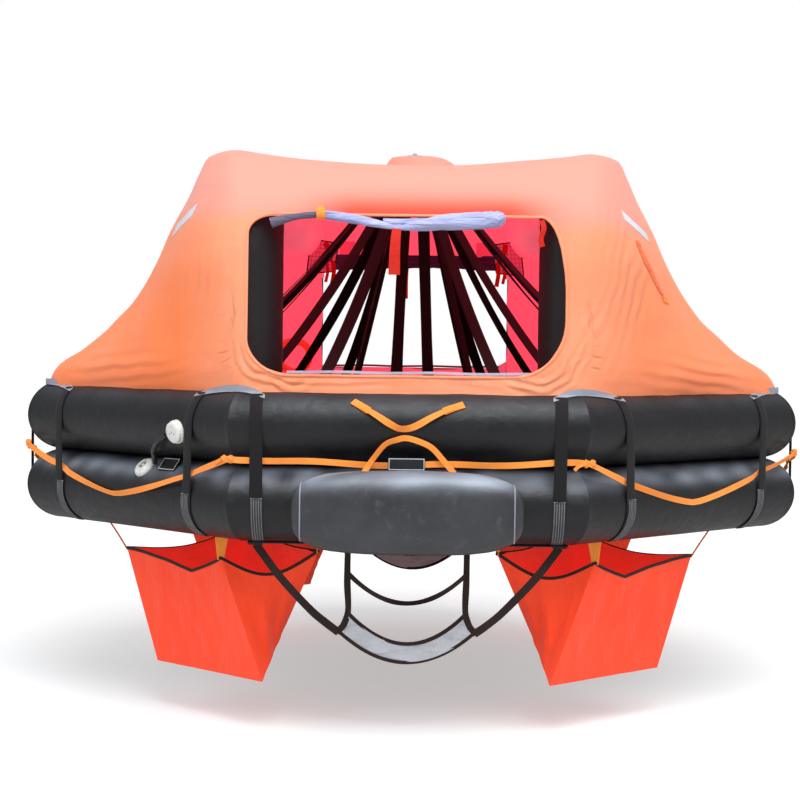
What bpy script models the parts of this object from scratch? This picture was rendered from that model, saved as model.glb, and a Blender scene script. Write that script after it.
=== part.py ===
# Inflatable life raft: two stacked tube rings, a canopy on two arches, and its fittings.
# Metres, +Z up. The origin is the middle of the octagon at the light waterline.
# The front doorway faces -Y, and the rear doorway is its mirror image.

import math

import bmesh
import bpy
from mathutils import Matrix, Vector

# Buoyancy tubes
TUBE_RADIUS = 0.1525
RING_APOTHEM = 1.5375  # middle line of the tubes, measured square to a side
LOWER_Z = 0.1025
UPPER_Z = 0.4078
TUBE_SIDES = 20
SEAT_GAP = 0.0003  # clearance between pieces that touch

# Floor
FLOOR_TOP = -0.029
FLOOR_THICK = 0.006

# Arch tubes
ARCH_X = 0.655
ARCH_RADIUS = 0.145
ARCH_LEG_Y = 1.41
ARCH_TOP_Z = 1.358
ARCH_BEND = 0.25

# Canopy
CANOPY_THICK = 0.005
CANOPY_BASE_ANGLE = 60.0  # degrees above the level, on the upper tube
DOOR_HALF_WIDTH = 0.624
DOOR_BOTTOM = 0.612
DOOR_TOP = 1.23
DOOR_CORNER = 0.13
TOP_SAG = 0.053
HUMP_HEIGHT = 0.175
HUMP_INNER = 0.11
HUMP_OUTER = 0.42
HUMP_HOLE = 0.095

# Webbing
WEB_WIDTH = 0.050
WEB_THICK = 0.003
LINE_WIDTH = 0.025
LINE_OUT = 1.6955  # how far out the lifeline runs
LINE_Z = 0.2705
LINE_SAG = 0.175

# Boarding ramp
RAMP_HALF = (0.445, 0.115, 0.160)
RAMP_Y = 1.785
RAMP_Z = 0.090

# Ladder, in its own plane below the lower tube
LADDER_AXIS_Z = -0.062
LADDER_HEM = 0.004
LADDER_WEB = 0.032
LADDER_HALF = 0.235
STAY_TOP_X = 0.600
STEP_TOP = (-0.322, -0.450)
STEP_BOTTOM = (-0.400, -0.524)
RUNG_Z = (-0.172, -0.292)

# Lifting gear
HEAD_Z = 1.610
HEAD_RADIUS = 0.065
HEAD_THICK = 0.012
LINK_BAR = 0.007
LINK_HALF = (0.034, 0.046)

LABEL_TILT = 17  # degrees that the label by the valve leans out from the tube

# Water pockets, as the front left one: rim and bottom corners in order round the bag
POCKET_RIM = (
    (-1.211, -0.920, -0.150),
    (-0.757, -1.373, -0.136),
    (-0.357, -1.400, -0.100),
    (-0.700, -0.750, -0.055),
)
POCKET_BOTTOM = (
    (-1.057, -1.038, -0.617),
    (-0.571, -1.500, -0.617),
    (-0.500, -1.200, -0.430),
    (-0.780, -0.860, -0.430),
)
POCKET_THICK = 0.003

HALF_TURN = math.tan(math.radians(22.5))


def clear_scene():
    for obj in list(bpy.data.objects):
        bpy.data.objects.remove(obj, do_unlink=True)


def new_collection(name):
    made = bpy.data.collections.new(name)
    bpy.context.scene.collection.children.link(made)
    return made


clear_scene()
raft = new_collection("life_raft")
cutters = new_collection("life_raft_cutters")
cutters.hide_render = True


def linear(value):
    return value / 12.92 if value <= 0.04045 else ((value + 0.055) / 1.055) ** 2.4


def plain_material(name, red, green, blue, roughness, metallic=0.0):
    """One Principled material from an sRGB colour given as 0 to 255."""
    made = bpy.data.materials.new(name)
    made.use_nodes = True
    shader = made.node_tree.nodes["Principled BSDF"]
    colour = tuple(linear(c / 255) for c in (red, green, blue)) + (1.0,)
    shader.inputs["Base Color"].default_value = colour
    shader.inputs["Roughness"].default_value = roughness
    shader.inputs["Metallic"].default_value = metallic
    made.diffuse_color = colour
    return made


def black_tube_rubber(name):
    return plain_material(name, 56, 56, 60, 0.45)


def orange_cloth(name):
    return plain_material(name, 255, 138, 80, 0.6)


def black_webbing(name):
    return plain_material(name, 40, 34, 34, 0.8)


def orange_webbing(name):
    return plain_material(name, 240, 138, 44, 0.75)


def red_bag_cloth(name):
    return plain_material(name, 238, 70, 40, 0.65)


def ramp_rubber(name):
    return plain_material(name, 80, 82, 88, 0.6)


def white_plastic(name):
    return plain_material(name, 226, 226, 218, 0.4)


def label_black(name):
    return plain_material(name, 22, 22, 24, 0.5)


def curtain_cloth(name):
    return plain_material(name, 178, 182, 226, 0.6)


def step_sheet(name):
    return plain_material(name, 176, 176, 182, 0.6)


def plain_steel(name):
    return plain_material(name, 176, 178, 182, 0.3, 1.0)


def red_rope(name):
    return plain_material(name, 214, 40, 34, 0.8)


def finish(obj, material, smooth_angle=35.0):
    """Gives the object its material and its shading, and puts it with the raft."""
    for home in list(obj.users_collection):
        home.objects.unlink(obj)
    raft.objects.link(obj)
    obj.data.materials.clear()
    obj.data.materials.append(material(obj.name + "_" + material.__name__))
    if obj.type == "MESH":
        obj.data.shade_smooth()
        obj.data.set_sharp_from_angle(angle=math.radians(smooth_angle))
    return obj


def mesh_object(name, points, faces):
    mesh = bpy.data.meshes.new(name)
    mesh.from_pydata([tuple(p) for p in points], [], faces)
    mesh.update()
    obj = bpy.data.objects.new(name, mesh)
    bpy.context.scene.collection.objects.link(obj)
    return obj


def face_outwards(obj):
    work = bmesh.new()
    work.from_mesh(obj.data)
    bmesh.ops.recalc_face_normals(work, faces=work.faces)
    work.to_mesh(obj.data)
    work.free()
    return obj


def as_cutter(obj):
    for home in list(obj.users_collection):
        home.objects.unlink(obj)
    cutters.objects.link(obj)
    obj.hide_render = True
    obj.display_type = "WIRE"
    return obj


def cut(obj, cutter, operation="DIFFERENCE"):
    made = obj.modifiers.new(operation.lower(), "BOOLEAN")
    made.operation = operation
    made.object = cutter
    return obj


def baked(obj):
    """The object as a plain mesh, with its modifiers worked in and its caps joined."""
    bpy.context.view_layer.update()
    graph = bpy.context.evaluated_depsgraph_get()
    mesh = bpy.data.meshes.new_from_object(obj.evaluated_get(graph))
    work = bmesh.new()
    work.from_mesh(mesh)
    bmesh.ops.remove_doubles(work, verts=work.verts, dist=0.00001)
    work.to_mesh(mesh)
    work.free()
    name, place = obj.name, obj.matrix_world.copy()
    bpy.data.objects.remove(obj, do_unlink=True)
    made = bpy.data.objects.new(name, mesh)
    bpy.context.scene.collection.objects.link(made)
    made.matrix_world = place
    return made


def side_point(side, along, out, height):
    """A point by one side of the octagon. Side 0 faces +X and side 6 the front, at -Y."""
    turn = math.radians(45 * side)
    outward = Vector((math.cos(turn), math.sin(turn), 0))
    beside = Vector((-math.sin(turn), math.cos(turn), 0))
    return outward * out + beside * along + Vector((0, 0, height))


def on_tube(height, angle, lift):
    """(out, height) on a ring tube's surface. The angle is in degrees above the level."""
    flat = math.cos(math.pi / TUBE_SIDES)
    reach = TUBE_RADIUS + lift / flat
    turn = math.radians(angle)
    return RING_APOTHEM + reach * math.cos(turn), height + reach * math.sin(turn)


def ring_tube(name, height, grow=0.0):
    """An octagonal ring of round tube, turned from its mitred section."""
    lean = 1 / math.cos(math.radians(22.5))
    flat = math.cos(math.pi / TUBE_SIDES)
    reach = TUBE_RADIUS + grow / flat
    points = []
    for i in range(TUBE_SIDES):
        turn = math.radians(90 - 360 * i / TUBE_SIDES)
        out = (RING_APOTHEM + reach * math.cos(turn)) * lean
        points.append((out, 0, height + reach * math.sin(turn)))
    mesh = bpy.data.meshes.new(name)
    edges = [(i, (i + 1) % TUBE_SIDES) for i in range(TUBE_SIDES)]
    mesh.from_pydata(points, edges, [])
    obj = bpy.data.objects.new(name, mesh)
    bpy.context.scene.collection.objects.link(obj)
    screw = obj.modifiers.new("turn", "SCREW")
    screw.steps = 8
    screw.render_steps = 8
    screw.use_merge_vertices = True
    screw.merge_threshold = 0.0001
    screw.use_smooth_shade = True
    obj.rotation_euler.z = math.radians(22.5)
    return obj


def tube_cutters():
    """The two ring tubes grown by the seat gap, which shape what rests on them."""
    return [
        as_cutter(ring_tube("cut_" + name, height, SEAT_GAP))
        for name, height in (("lower", LOWER_Z), ("upper", UPPER_Z))
    ]


def loft(name, sections, closed_ends=True, loop=False):
    """A skin through sections that have the same number of corners."""
    count = len(sections[0])
    points = [p for section in sections for p in section]
    faces = []
    rows = len(sections)
    for i in range(rows if loop else rows - 1):
        for j in range(count):
            a, b = i * count + j, i * count + (j + 1) % count
            c, d = ((i + 1) % rows) * count + (j + 1) % count, ((i + 1) % rows) * count + j
            faces.append((a, b, c, d))
    if closed_ends and not loop:
        faces.append(tuple(range(count)))
        faces.append(tuple(range((rows - 1) * count, rows * count)))
    return face_outwards(mesh_object(name, points, faces))


def ribbon(name, points, facing, width, thick, loop=False):
    """Flat webbing: a thin strip along the points, whose flat side faces a given way."""
    points = [Vector(p) for p in points]
    sections = []
    for i, point in enumerate(points):
        before = points[i - 1] if i or loop else point
        after = points[(i + 1) % len(points)] if loop or i + 1 < len(points) else point
        along = (after - before).normalized()
        wide = along.cross(Vector(facing[i] if isinstance(facing, list) else facing)).normalized()
        deep = wide.cross(along).normalized()
        sections.append(
            [
                point + wide * (width / 2 * a) + deep * (thick / 2 * b)
                for a, b in ((-1, -1), (1, -1), (1, 1), (-1, 1))
            ]
        )
    return loft(name, sections, loop=loop)


def rod(name, points, radius, sides=3, loop=False):
    """A round bar or hose along points."""
    curve = bpy.data.curves.new(name, "CURVE")
    curve.dimensions = "3D"
    curve.bevel_depth = radius
    curve.bevel_resolution = sides
    curve.use_fill_caps = not loop
    line = curve.splines.new("POLY")
    line.points.add(len(points) - 1)
    for slot, point in zip(line.points, points):
        slot.co = (*point, 1)
    line.use_cyclic_u = loop
    obj = bpy.data.objects.new(name, curve)
    bpy.context.scene.collection.objects.link(obj)
    return obj


def smooth_route(points, steps):
    """A smooth line through the points, as a Catmull-Rom curve."""
    points = [Vector(p) for p in points]
    ends = [2 * points[0] - points[1]] + points + [2 * points[-1] - points[-2]]
    made = []
    for a, b, c, d in zip(ends, ends[1:], ends[2:], ends[3:]):
        for i in range(steps):
            t = i / steps
            made.append(
                0.5 * ((2 * b) + (c - a) * t + (2 * a - 5 * b + 4 * c - d) * t**2 + (3 * b - a - 3 * c + d) * t**3)
            )
    return made + [points[-1]]


def plate(name, outlines, thick):
    """A flat sheet from closed outlines in its own plane, where inner ones are holes."""
    curve = bpy.data.curves.new(name, "CURVE")
    curve.dimensions = "2D"
    curve.fill_mode = "BOTH"
    curve.extrude = thick / 2
    for outline in outlines:
        line = curve.splines.new("POLY")
        line.points.add(len(outline) - 1)
        for slot, point in zip(line.points, outline):
            slot.co = (point[0], point[1], 0, 1)
        line.use_cyclic_u = True
    obj = bpy.data.objects.new(name, curve)
    bpy.context.scene.collection.objects.link(obj)
    return obj


def block(name, size, centre, matrix=None):
    bpy.ops.mesh.primitive_cube_add(size=1)
    obj = bpy.context.active_object
    obj.name = name
    obj.data.transform(Matrix.Diagonal((*size, 1)))
    obj.matrix_world = (matrix or Matrix.Translation(centre))
    return obj


def cylinder(name, radius, depth, sides=20):
    bpy.ops.mesh.primitive_cylinder_add(vertices=sides, radius=radius, depth=depth)
    obj = bpy.context.active_object
    obj.name = name
    return obj


def joined(name, pieces):
    """One body from pieces that overlap."""
    first = pieces[0]
    for other in pieces[1:]:
        cut(first, as_cutter(other), "UNION")
    made = baked(first)
    for other in pieces[1:]:
        bpy.data.objects.remove(other, do_unlink=True)
    made.name = name
    return made


def mirrored(obj, name, flip_x=False, flip_y=False):
    """A mirror image of a finished piece, as its own object facing outwards."""
    bpy.context.view_layer.update()
    mesh = obj.data.copy()
    scale = Matrix.Diagonal((-1 if flip_x else 1, -1 if flip_y else 1, 1, 1))
    mesh.transform(scale @ obj.matrix_world)
    if flip_x != flip_y:
        mesh.flip_normals()
    made = bpy.data.objects.new(name, mesh)
    bpy.context.scene.collection.objects.link(made)
    return made


def add_rings():
    for name, height in (("lower_tube", LOWER_Z), ("upper_tube", UPPER_Z)):
        finish(ring_tube(name, height), black_tube_rubber)


def add_floor(seats):
    flat = cylinder("floor", (RING_APOTHEM - 0.02) / math.cos(math.radians(22.5)), FLOOR_THICK, 8)
    flat.data.transform(Matrix.Rotation(math.radians(22.5), 4, "Z"))
    flat.location.z = FLOOR_TOP - FLOOR_THICK / 2
    finish(cut(flat, seats[0]), black_tube_rubber)


def add_arches(seats):
    """Two arches front to back, each a leg, a bend, a level run, a bend and a leg."""
    half = [(-ARCH_LEG_Y, UPPER_Z + 0.03), (-ARCH_LEG_Y, ARCH_TOP_Z - ARCH_BEND)]
    for step in range(1, 6):
        turn = math.radians(90 * step / 5)
        y = -ARCH_LEG_Y + ARCH_BEND * (1 - math.cos(turn))
        half.append((y, ARCH_TOP_Z - ARCH_BEND * (1 - math.sin(turn))))
    line = half + [(-y, z) for y, z in reversed(half)]
    for name, x in (("arch_left", -ARCH_X), ("arch_right", ARCH_X)):
        arch = baked(rod(name, [(x, y, z) for y, z in line], ARCH_RADIUS, 5))
        finish(cut(arch, seats[1]), black_tube_rubber)


def canopy_stations():
    """Wall rings: height, front corner x, half width, side corner y, half depth, corner bulge, sag."""
    return [
        (0.530, 0.6684, 1.6137, 0.6684, 1.6137, 0.0, 0.0),
        (0.615, 0.668, 1.565, 0.700, 1.612, 0.2, 0.0),
        (0.700, 0.665, 1.437, 0.760, 1.606, 0.4, 0.0),
        (0.800, 0.662, 1.302, 0.840, 1.600, 0.6, 0.0),
        (0.914, 0.664, 1.180, 0.940, 1.595, 0.8, 0.0),
        (1.070, 0.668, 1.069, 1.080, 1.590, 1.0, 0.0),
        (1.200, 0.670, 0.994, 1.180, 1.575, 1.0, 0.0),
        (1.320, 0.672, 0.920, 1.230, 1.530, 1.0, 0.1),
        (1.420, 0.675, 0.878, 1.200, 1.445, 1.0, 0.5),
        (1.498, 0.690, 0.845, 1.140, 1.335, 1.0, 0.9),
        (1.524, 0.690, 0.780, 1.060, 1.210, 1.0, 1.0),
    ]


def canopy_ring(station):
    z, front_x, wide, side_y, deep, bulge, sag = station
    start, end = Vector((front_x, -deep)), Vector((wide, -side_y))
    middle = (start + end) / 2
    pull = middle.lerp(Vector((front_x + 0.55 * (wide - front_x), -deep)), bulge)
    quarter = [Vector((0, -deep)), Vector((front_x / 2, -deep)), start]
    for t in (0.25, 0.5, 0.75):
        quarter.append(start * (1 - t) ** 2 + pull * (2 * t * (1 - t)) + end * t**2)
    quarter += [end, Vector((wide, -side_y / 2)), Vector((wide, 0))]
    there = quarter[:-1]
    back = [Vector((p.x, -p.y)) for p in reversed(quarter)][:-1]
    ring = there + back + [-p for p in there] + [-p for p in back]
    return [Vector((p.x, p.y, z - sag * TOP_SAG * max(0, 1 - (p.x / ARCH_X) ** 2))) for p in ring]


def top_height(x, y):
    """The canopy's top: slung between the arches, and pushed up over the lifting head."""
    sag = TOP_SAG * max(0, 1 - (x / ARCH_X) ** 2)
    reach = (math.hypot(x, y) - HUMP_INNER) / (HUMP_OUTER - HUMP_INNER)
    rise = 0.5 + 0.5 * math.cos(math.pi * min(1, max(0, reach)))
    return 1.522 - sag + HUMP_HEIGHT * rise


def add_canopy(seats):
    rings = [canopy_ring(station) for station in canopy_stations()]
    edge = rings[-1]
    for radius, share in ((0.60, 0.5), (0.48, 1), (0.36, 1), (0.25, 1), (0.16, 1), (HUMP_HOLE, 1)):
        ring = []
        for p in edge:
            round_one = Vector((p.x, p.y, 0)).normalized() * radius
            flat = Vector((p.x, p.y, 0)).lerp(round_one, share)
            ring.append(Vector((flat.x, flat.y, top_height(flat.x, flat.y))))
        rings.append(ring)
    canopy = loft("canopy", rings, closed_ends=False)
    shell = canopy.modifiers.new("cloth", "SOLIDIFY")
    shell.thickness = CANOPY_THICK
    shell.offset = -1
    shell.use_even_offset = True
    doorway = baked(plate("cut_doorways", [rounded_box(DOOR_HALF_WIDTH, DOOR_BOTTOM, DOOR_TOP)], 4))
    doorway.matrix_world = Matrix.Rotation(math.radians(90), 4, "X")
    cut(canopy, as_cutter(doorway))
    finish(cut(canopy, seats[1]), orange_cloth)


def rounded_box(half, low, high):
    points = []
    for x, z, first in (
        (half, high, 0),
        (-half, high, 90),
        (-half, low, 180),
        (half, low, 270),
    ):
        cx = x - math.copysign(DOOR_CORNER, x)
        cz = z - DOOR_CORNER if z == high else z + DOOR_CORNER
        for step in range(5):
            turn = math.radians(first + 22.5 * step)
            points.append((cx + DOOR_CORNER * math.cos(turn), cz + DOOR_CORNER * math.sin(turn)))
    return points


def add_curtains():
    """Each doorway's curtain, rolled up over its top edge and dipping in the middle."""
    route = smooth_route([(-0.36, 0, 1.238), (-0.17, 0, 1.230), (0, 0, 1.212), (0.17, 0, 1.230), (0.36, 0, 1.238)], 3)
    roll = baked(rod("curtain_roll_front", route, 0.034, 3))
    roll.location.y = -1.5976
    finish(roll, curtain_cloth)
    finish(mirrored(roll, "curtain_roll_rear", flip_y=True), curtain_cloth)


def pillow(name, half, power):
    """A soft block: a ball drawn out towards its box, the more so the higher the power."""
    mesh = bpy.data.meshes.new(name)
    work = bmesh.new()
    bmesh.ops.create_uvsphere(work, u_segments=24, v_segments=12, radius=1)
    for corner in work.verts:
        size = sum(abs(c) ** power for c in corner.co) ** (-1 / power)
        corner.co = Vector(c * size * h for c, h in zip(corner.co, half))
    work.to_mesh(mesh)
    work.free()
    obj = bpy.data.objects.new(name, mesh)
    bpy.context.scene.collection.objects.link(obj)
    return obj


def add_ramps(seats):
    ramp = pillow("boarding_ramp_front", RAMP_HALF, 3.5)
    ramp.location = (0, -RAMP_Y, RAMP_Z)
    ramp = baked(cut(ramp, seats[0]))
    finish(ramp, ramp_rubber)
    finish(mirrored(ramp, "boarding_ramp_rear", flip_y=True), ramp_rubber)


def strap_along(side, angle, low):
    """How far from the middle of a side the corner strap lies, at a height on the tubes."""
    share = {54: 0.0, 36: 0.1, 18: 0.2, 0: 0.35}.get(angle, 1.0) if not low else 0.6 - angle / 180
    top, bottom = (0.592, 0.583) if side % 2 == 0 else (0.466, 0.437)
    return top + (bottom - top) * min(share, 1.0)


def corner_strap(side, sign):
    points, facing = [], []
    lift = SEAT_GAP + WEB_THICK / 2
    for height, angles in ((UPPER_Z, (54, 36, 18, 0)), (LOWER_Z, (0, -18, -36, -54, -72))):
        for angle in angles:
            out, z = on_tube(height, angle, lift)
            along = sign * strap_along(side, angle, height == LOWER_Z)
            points.append(side_point(side, along, out, z))
            turn = math.radians(angle)
            facing.append(side_point(side, 0, math.cos(turn), math.sin(turn)))
    return ribbon("strap", points, facing, WEB_WIDTH, WEB_THICK)


def corner_patch(side):
    """The reinforcing patch round the corner, which carries the tops of both straps."""
    sections = []
    ends = {True: 0.560, False: 0.436}
    for station in (0, 1, 2):
        section = []
        for angle, lift in ((54, 0.0008), (36, 0.0008), (36, 0.0050), (54, 0.0050)):
            out, z = on_tube(UPPER_Z, angle, lift)
            if station == 0:
                section.append(side_point(side, ends[side % 2 == 0], out, z))
            elif station == 1:
                section.append(side_point(side, out * HALF_TURN, out, z))
            else:
                section.append(side_point(side + 1, -ends[(side + 1) % 2 == 0], out, z))
        sections.append(section)
    return loft("patch", sections)


def add_corner_straps():
    for side in range(8):
        pieces = [corner_patch(side), corner_strap(side, 1), corner_strap(side + 1, -1)]
        finish(joined(f"corner_straps_{side + 1}", pieces), black_webbing)


def line_corner(a, b, c, d):
    """Where the line a-b meets the line c-d, in their own plane."""
    r, s = b - a, d - c
    share = (c - a).cross(s) / r.cross(s)
    return a + r * share


def vee(name, top, feet, width, thick):
    """Two straps from one end, cut flat from one plane: feet are where they end."""
    across = (feet[1] - feet[0]).normalized()
    down = (feet[0] + feet[1]) / 2 - top
    down = (down - across * down.dot(across)).normalized()
    flat = [Vector(((f - top).dot(across), (f - top).dot(down))) for f in feet]
    edges = []
    for foot in flat:
        beside = Vector((foot.y, -foot.x)).normalized() * width / 2
        edges.append((foot - beside, foot + beside, foot.normalized()))
    crotch = line_corner(edges[0][1], edges[0][1] + edges[0][2], edges[1][0], edges[1][0] + edges[1][2])
    outline = [Vector((-width / 2, 0)), edges[0][0], edges[0][1], crotch, edges[1][0], edges[1][1]]
    outline.append(Vector((width / 2, 0)))
    sheet = plate(name, [outline], thick)
    through = across.cross(down)
    sheet.matrix_world = Matrix(
        (
            (across.x, down.x, through.x, top.x),
            (across.y, down.y, through.y, top.y),
            (across.z, down.z, through.z, top.z),
            (0, 0, 0, 1),
        )
    )
    return baked(sheet)


def bridle_foot(side, sign):
    """How far along a side the lifting strap ends, beside an arch leg or near the corner."""
    if side % 4 == 2:
        return sign * 0.44
    if side % 2 == 1:
        by_leg = (side + sign) % 8 in (2, 6) or (side + sign) % 8 == -2
        return sign * (0.33 if by_leg else 0.49)
    return sign * 0.49


def add_bridle(seats):
    """The lifting straps: a pair to each corner of the upper tube, and pairs to the floor."""
    inner = RING_APOTHEM - TUBE_RADIUS
    for side in range(8):
        turn = math.radians(45 * side + 22.5)
        top = Vector((math.cos(turn), math.sin(turn), 0)) * (HEAD_RADIUS + 0.0013)
        top.z = HEAD_Z + HEAD_THICK / 2
        feet = [
            side_point(side, bridle_foot(side, 1), inner + 0.02, UPPER_Z),
            side_point(side + 1, bridle_foot(side + 1, -1), inner + 0.02, UPPER_Z),
        ]
        pair = vee(f"bridle_pair_{side + 1}", top, feet, WEB_WIDTH * 0.9, WEB_THICK)
        finish(cut(pair, seats[1]), black_webbing)
    floor_shape = as_cutter(block("cut_floor", (2, 2, 0.1), (0, 0, FLOOR_TOP + SEAT_GAP - 0.05)))
    for i, (x, y) in enumerate(((-1, -1), (1, -1), (1, 1), (-1, 1))):
        top = Vector((x * 0.033, y * 0.033, HEAD_Z - 0.0012))
        foot_z = FLOOR_TOP - 0.01
        feet = [Vector((x * 0.42, y * 0.27, foot_z)), Vector((x * 0.10, y * 0.50, foot_z))]
        pair = vee(f"floor_strap_pair_{i + 1}", top, feet, WEB_WIDTH * 0.9, WEB_THICK)
        finish(cut(pair, floor_shape), black_webbing)


def add_lifting_gear():
    """The plate that the bridle meets, and the link that lies on it and swings up."""
    top = HEAD_Z + HEAD_THICK
    axis = Vector((0, -0.030, top + LINK_BAR + SEAT_GAP))
    disc = cylinder("lifting_plate", HEAD_RADIUS, HEAD_THICK, 24)
    disc.location.z = HEAD_Z + HEAD_THICK / 2
    lug_top = axis.z + 0.0145
    lug = block("lug", (0.020, 0.030, lug_top - HEAD_Z - 0.002), (0, axis.y, (lug_top + HEAD_Z + 0.002) / 2))
    hole = cylinder("cut_lug_hole", LINK_BAR + 0.0005, 0.06, 24)
    hole.matrix_world = Matrix.Translation(axis) @ Matrix.Rotation(math.radians(90), 4, "Y")
    head = joined("lifting_plate", [disc, lug])
    finish(cut(head, as_cutter(hole)), plain_steel)
    points = []
    half_x, length, corner = LINK_HALF[0], 2 * LINK_HALF[1], 0.018
    for x, y, first in ((half_x, length, 0), (-half_x, length, 90), (-half_x, 0, 180), (half_x, 0, 270)):
        cx = x - math.copysign(corner, x)
        cy = y - corner if y else y + corner
        for step in range(4):
            turn = math.radians(first + 30 * step)
            points.append((cx + corner * math.cos(turn), cy + corner * math.sin(turn), 0))
    link = baked(rod("lifting_link", points, LINK_BAR, 3, loop=True))
    link.location = axis
    finish(link, plain_steel)


def surface_route(height, route, lift, end_lift):
    """Points on a ring tube's front, from points given by their x and height."""
    flat = smooth_route([(x, 0, z) for x, z in route], 3)
    points, facing = [], []
    for i, p in enumerate(flat):
        angle = math.degrees(math.asin((p.z - height) / TUBE_RADIUS))
        out, z = on_tube(height, angle, end_lift if i in (0, len(flat) - 1) else lift)
        points.append((p.x, -out, z))
        facing.append((0, -math.cos(math.radians(angle)), math.sin(math.radians(angle))))
    return points, facing


def add_handles(seats):
    route = [(-0.217, 0.508), (-0.120, 0.452), (-0.030, 0.407), (0.090, 0.450), (0.213, 0.500)]
    points, facing = surface_route(UPPER_Z, route, 0.0038, 0.0020)
    grab = ribbon("grab_handle_front", points, facing, 0.030, WEB_THICK)
    grab = baked(cut(grab, seats[1]))
    finish(grab, orange_webbing)
    finish(mirrored(grab, "grab_handle_rear", flip_y=True), orange_webbing)


def add_ramp_handles(seats):
    """An arch of webbing that stands on the ramp, in front of the lifeline."""
    route = [
        (-0.165, -1.7370, 0.246),
        (-0.135, -1.7100, 0.290),
        (-0.090, -1.7005, 0.345),
        (-0.008, -1.7005, 0.371),
        (0.090, -1.7005, 0.335),
        (0.177, -1.7370, 0.245),
    ]
    handle = ribbon("ramp_handle_front", smooth_route(route, 3), (0, -1, 0), 0.025, WEB_THICK)
    ramp_shape = pillow("cut_ramp", [h + SEAT_GAP for h in RAMP_HALF], 3.5)
    ramp_shape.location = (0, -RAMP_Y, RAMP_Z)
    handle = baked(cut(handle, as_cutter(ramp_shape)))
    finish(handle, orange_webbing)
    finish(mirrored(handle, "ramp_handle_rear", flip_y=True), orange_webbing)


def add_lifeline():
    points, facing = [], []
    for side in range(8):
        sag = 0.004 if side % 4 == 2 else LINE_SAG
        half = LINE_OUT * HALF_TURN
        for step in range(6):
            share = -1 + step / 3
            z = LINE_Z - sag * (1 - share**2)
            points.append(side_point(side, share * half, LINE_OUT, z))
            way = side_point(side, 0, 1, 0) + (side_point(side - 1, 0, 1, 0) if step == 0 else Vector((0, 0, 0)))
            facing.append(way.normalized())
    finish(ribbon("lifeline", points, facing, LINE_WIDTH, WEB_THICK, loop=True), orange_webbing)


def on_side(obj, side, along, height, angle, lift):
    """Stands a piece on a ring tube's surface, its own Z pointing straight out of it."""
    out, z = on_tube(height, angle, lift)
    turn = math.radians(angle)
    outward = side_point(side, 0, math.cos(turn), math.sin(turn))
    beside = side_point(side, 1, 0, 0)
    up = outward.cross(beside)
    spot = side_point(side, along, out, z)
    obj.matrix_world = Matrix(
        (
            (beside.x, up.x, outward.x, spot.x),
            (beside.y, up.y, outward.y, spot.y),
            (beside.z, up.z, outward.z, spot.z),
            (0, 0, 0, 1),
        )
    )
    return obj


def turned(name, profile, steps=20):
    """A round piece turned from its profile, given as radius and height from the top down."""
    mesh = bpy.data.meshes.new(name)
    mesh.from_pydata([(r, 0, z) for r, z in profile], [(i, i + 1) for i in range(len(profile) - 1)], [])
    obj = bpy.data.objects.new(name, mesh)
    bpy.context.scene.collection.objects.link(obj)
    screw = obj.modifiers.new("turn", "SCREW")
    screw.steps = steps
    screw.render_steps = steps
    screw.use_merge_vertices = True
    screw.merge_threshold = 0.0001
    return obj


def add_valves(seats):
    """The topping-up valve on the upper tube, the relief valve on the lower, and the hose."""
    cap = [(0, 0.026), (0.040, 0.026), (0.044, 0.022), (0.044, 0.006), (0.048, 0.005), (0.048, -0.016), (0, -0.016)]
    topping = on_side(turned("topping_valve", cap), 5, 0.375, UPPER_Z, -13, 0)
    finish(cut(topping, seats[1]), white_plastic)
    low = [(0, 0.018), (0.036, 0.018), (0.042, 0.012), (0.048, 0.004), (0.048, -0.016), (0, -0.016)]
    relief = on_side(turned("relief_valve", low), 5, 0.100, LOWER_Z, 48, 0)
    finish(cut(relief, seats[0]), white_plastic)
    first_out, first_z = on_tube(UPPER_Z, -18, 0.0111)
    last_out, last_z = on_tube(LOWER_Z, 54, 0.0125)
    route = [(0.314, first_out, first_z), (0.270, 1.700, 0.330), (0.220, 1.685, 0.292)]
    route += [(0.185, 1.655, 0.268), (0.162, last_out, last_z)]
    points = smooth_route([side_point(5, a, n, z) for a, n, z in route], 3)
    finish(baked(rod("valve_hose", points, 0.012, 2)), black_tube_rubber)


def add_labels(seats):
    out = LINE_OUT + WEB_THICK / 2 + SEAT_GAP + 0.002
    front = block("label_plate_front", (0.143, 0.004, 0.050), (-0.006, -out, LINE_Z))
    finish(front, label_black)
    by_valve = block("label_plate_valve", (0.108, 0.060, 0.008), (0, 0, 0))
    on_side(by_valve, 5, 0.255, LOWER_Z, 54.9, 0.0083)
    by_valve.matrix_world @= Matrix.Rotation(math.radians(LABEL_TILT), 4, "X")
    finish(cut(by_valve, seats[0]), label_black)


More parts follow.
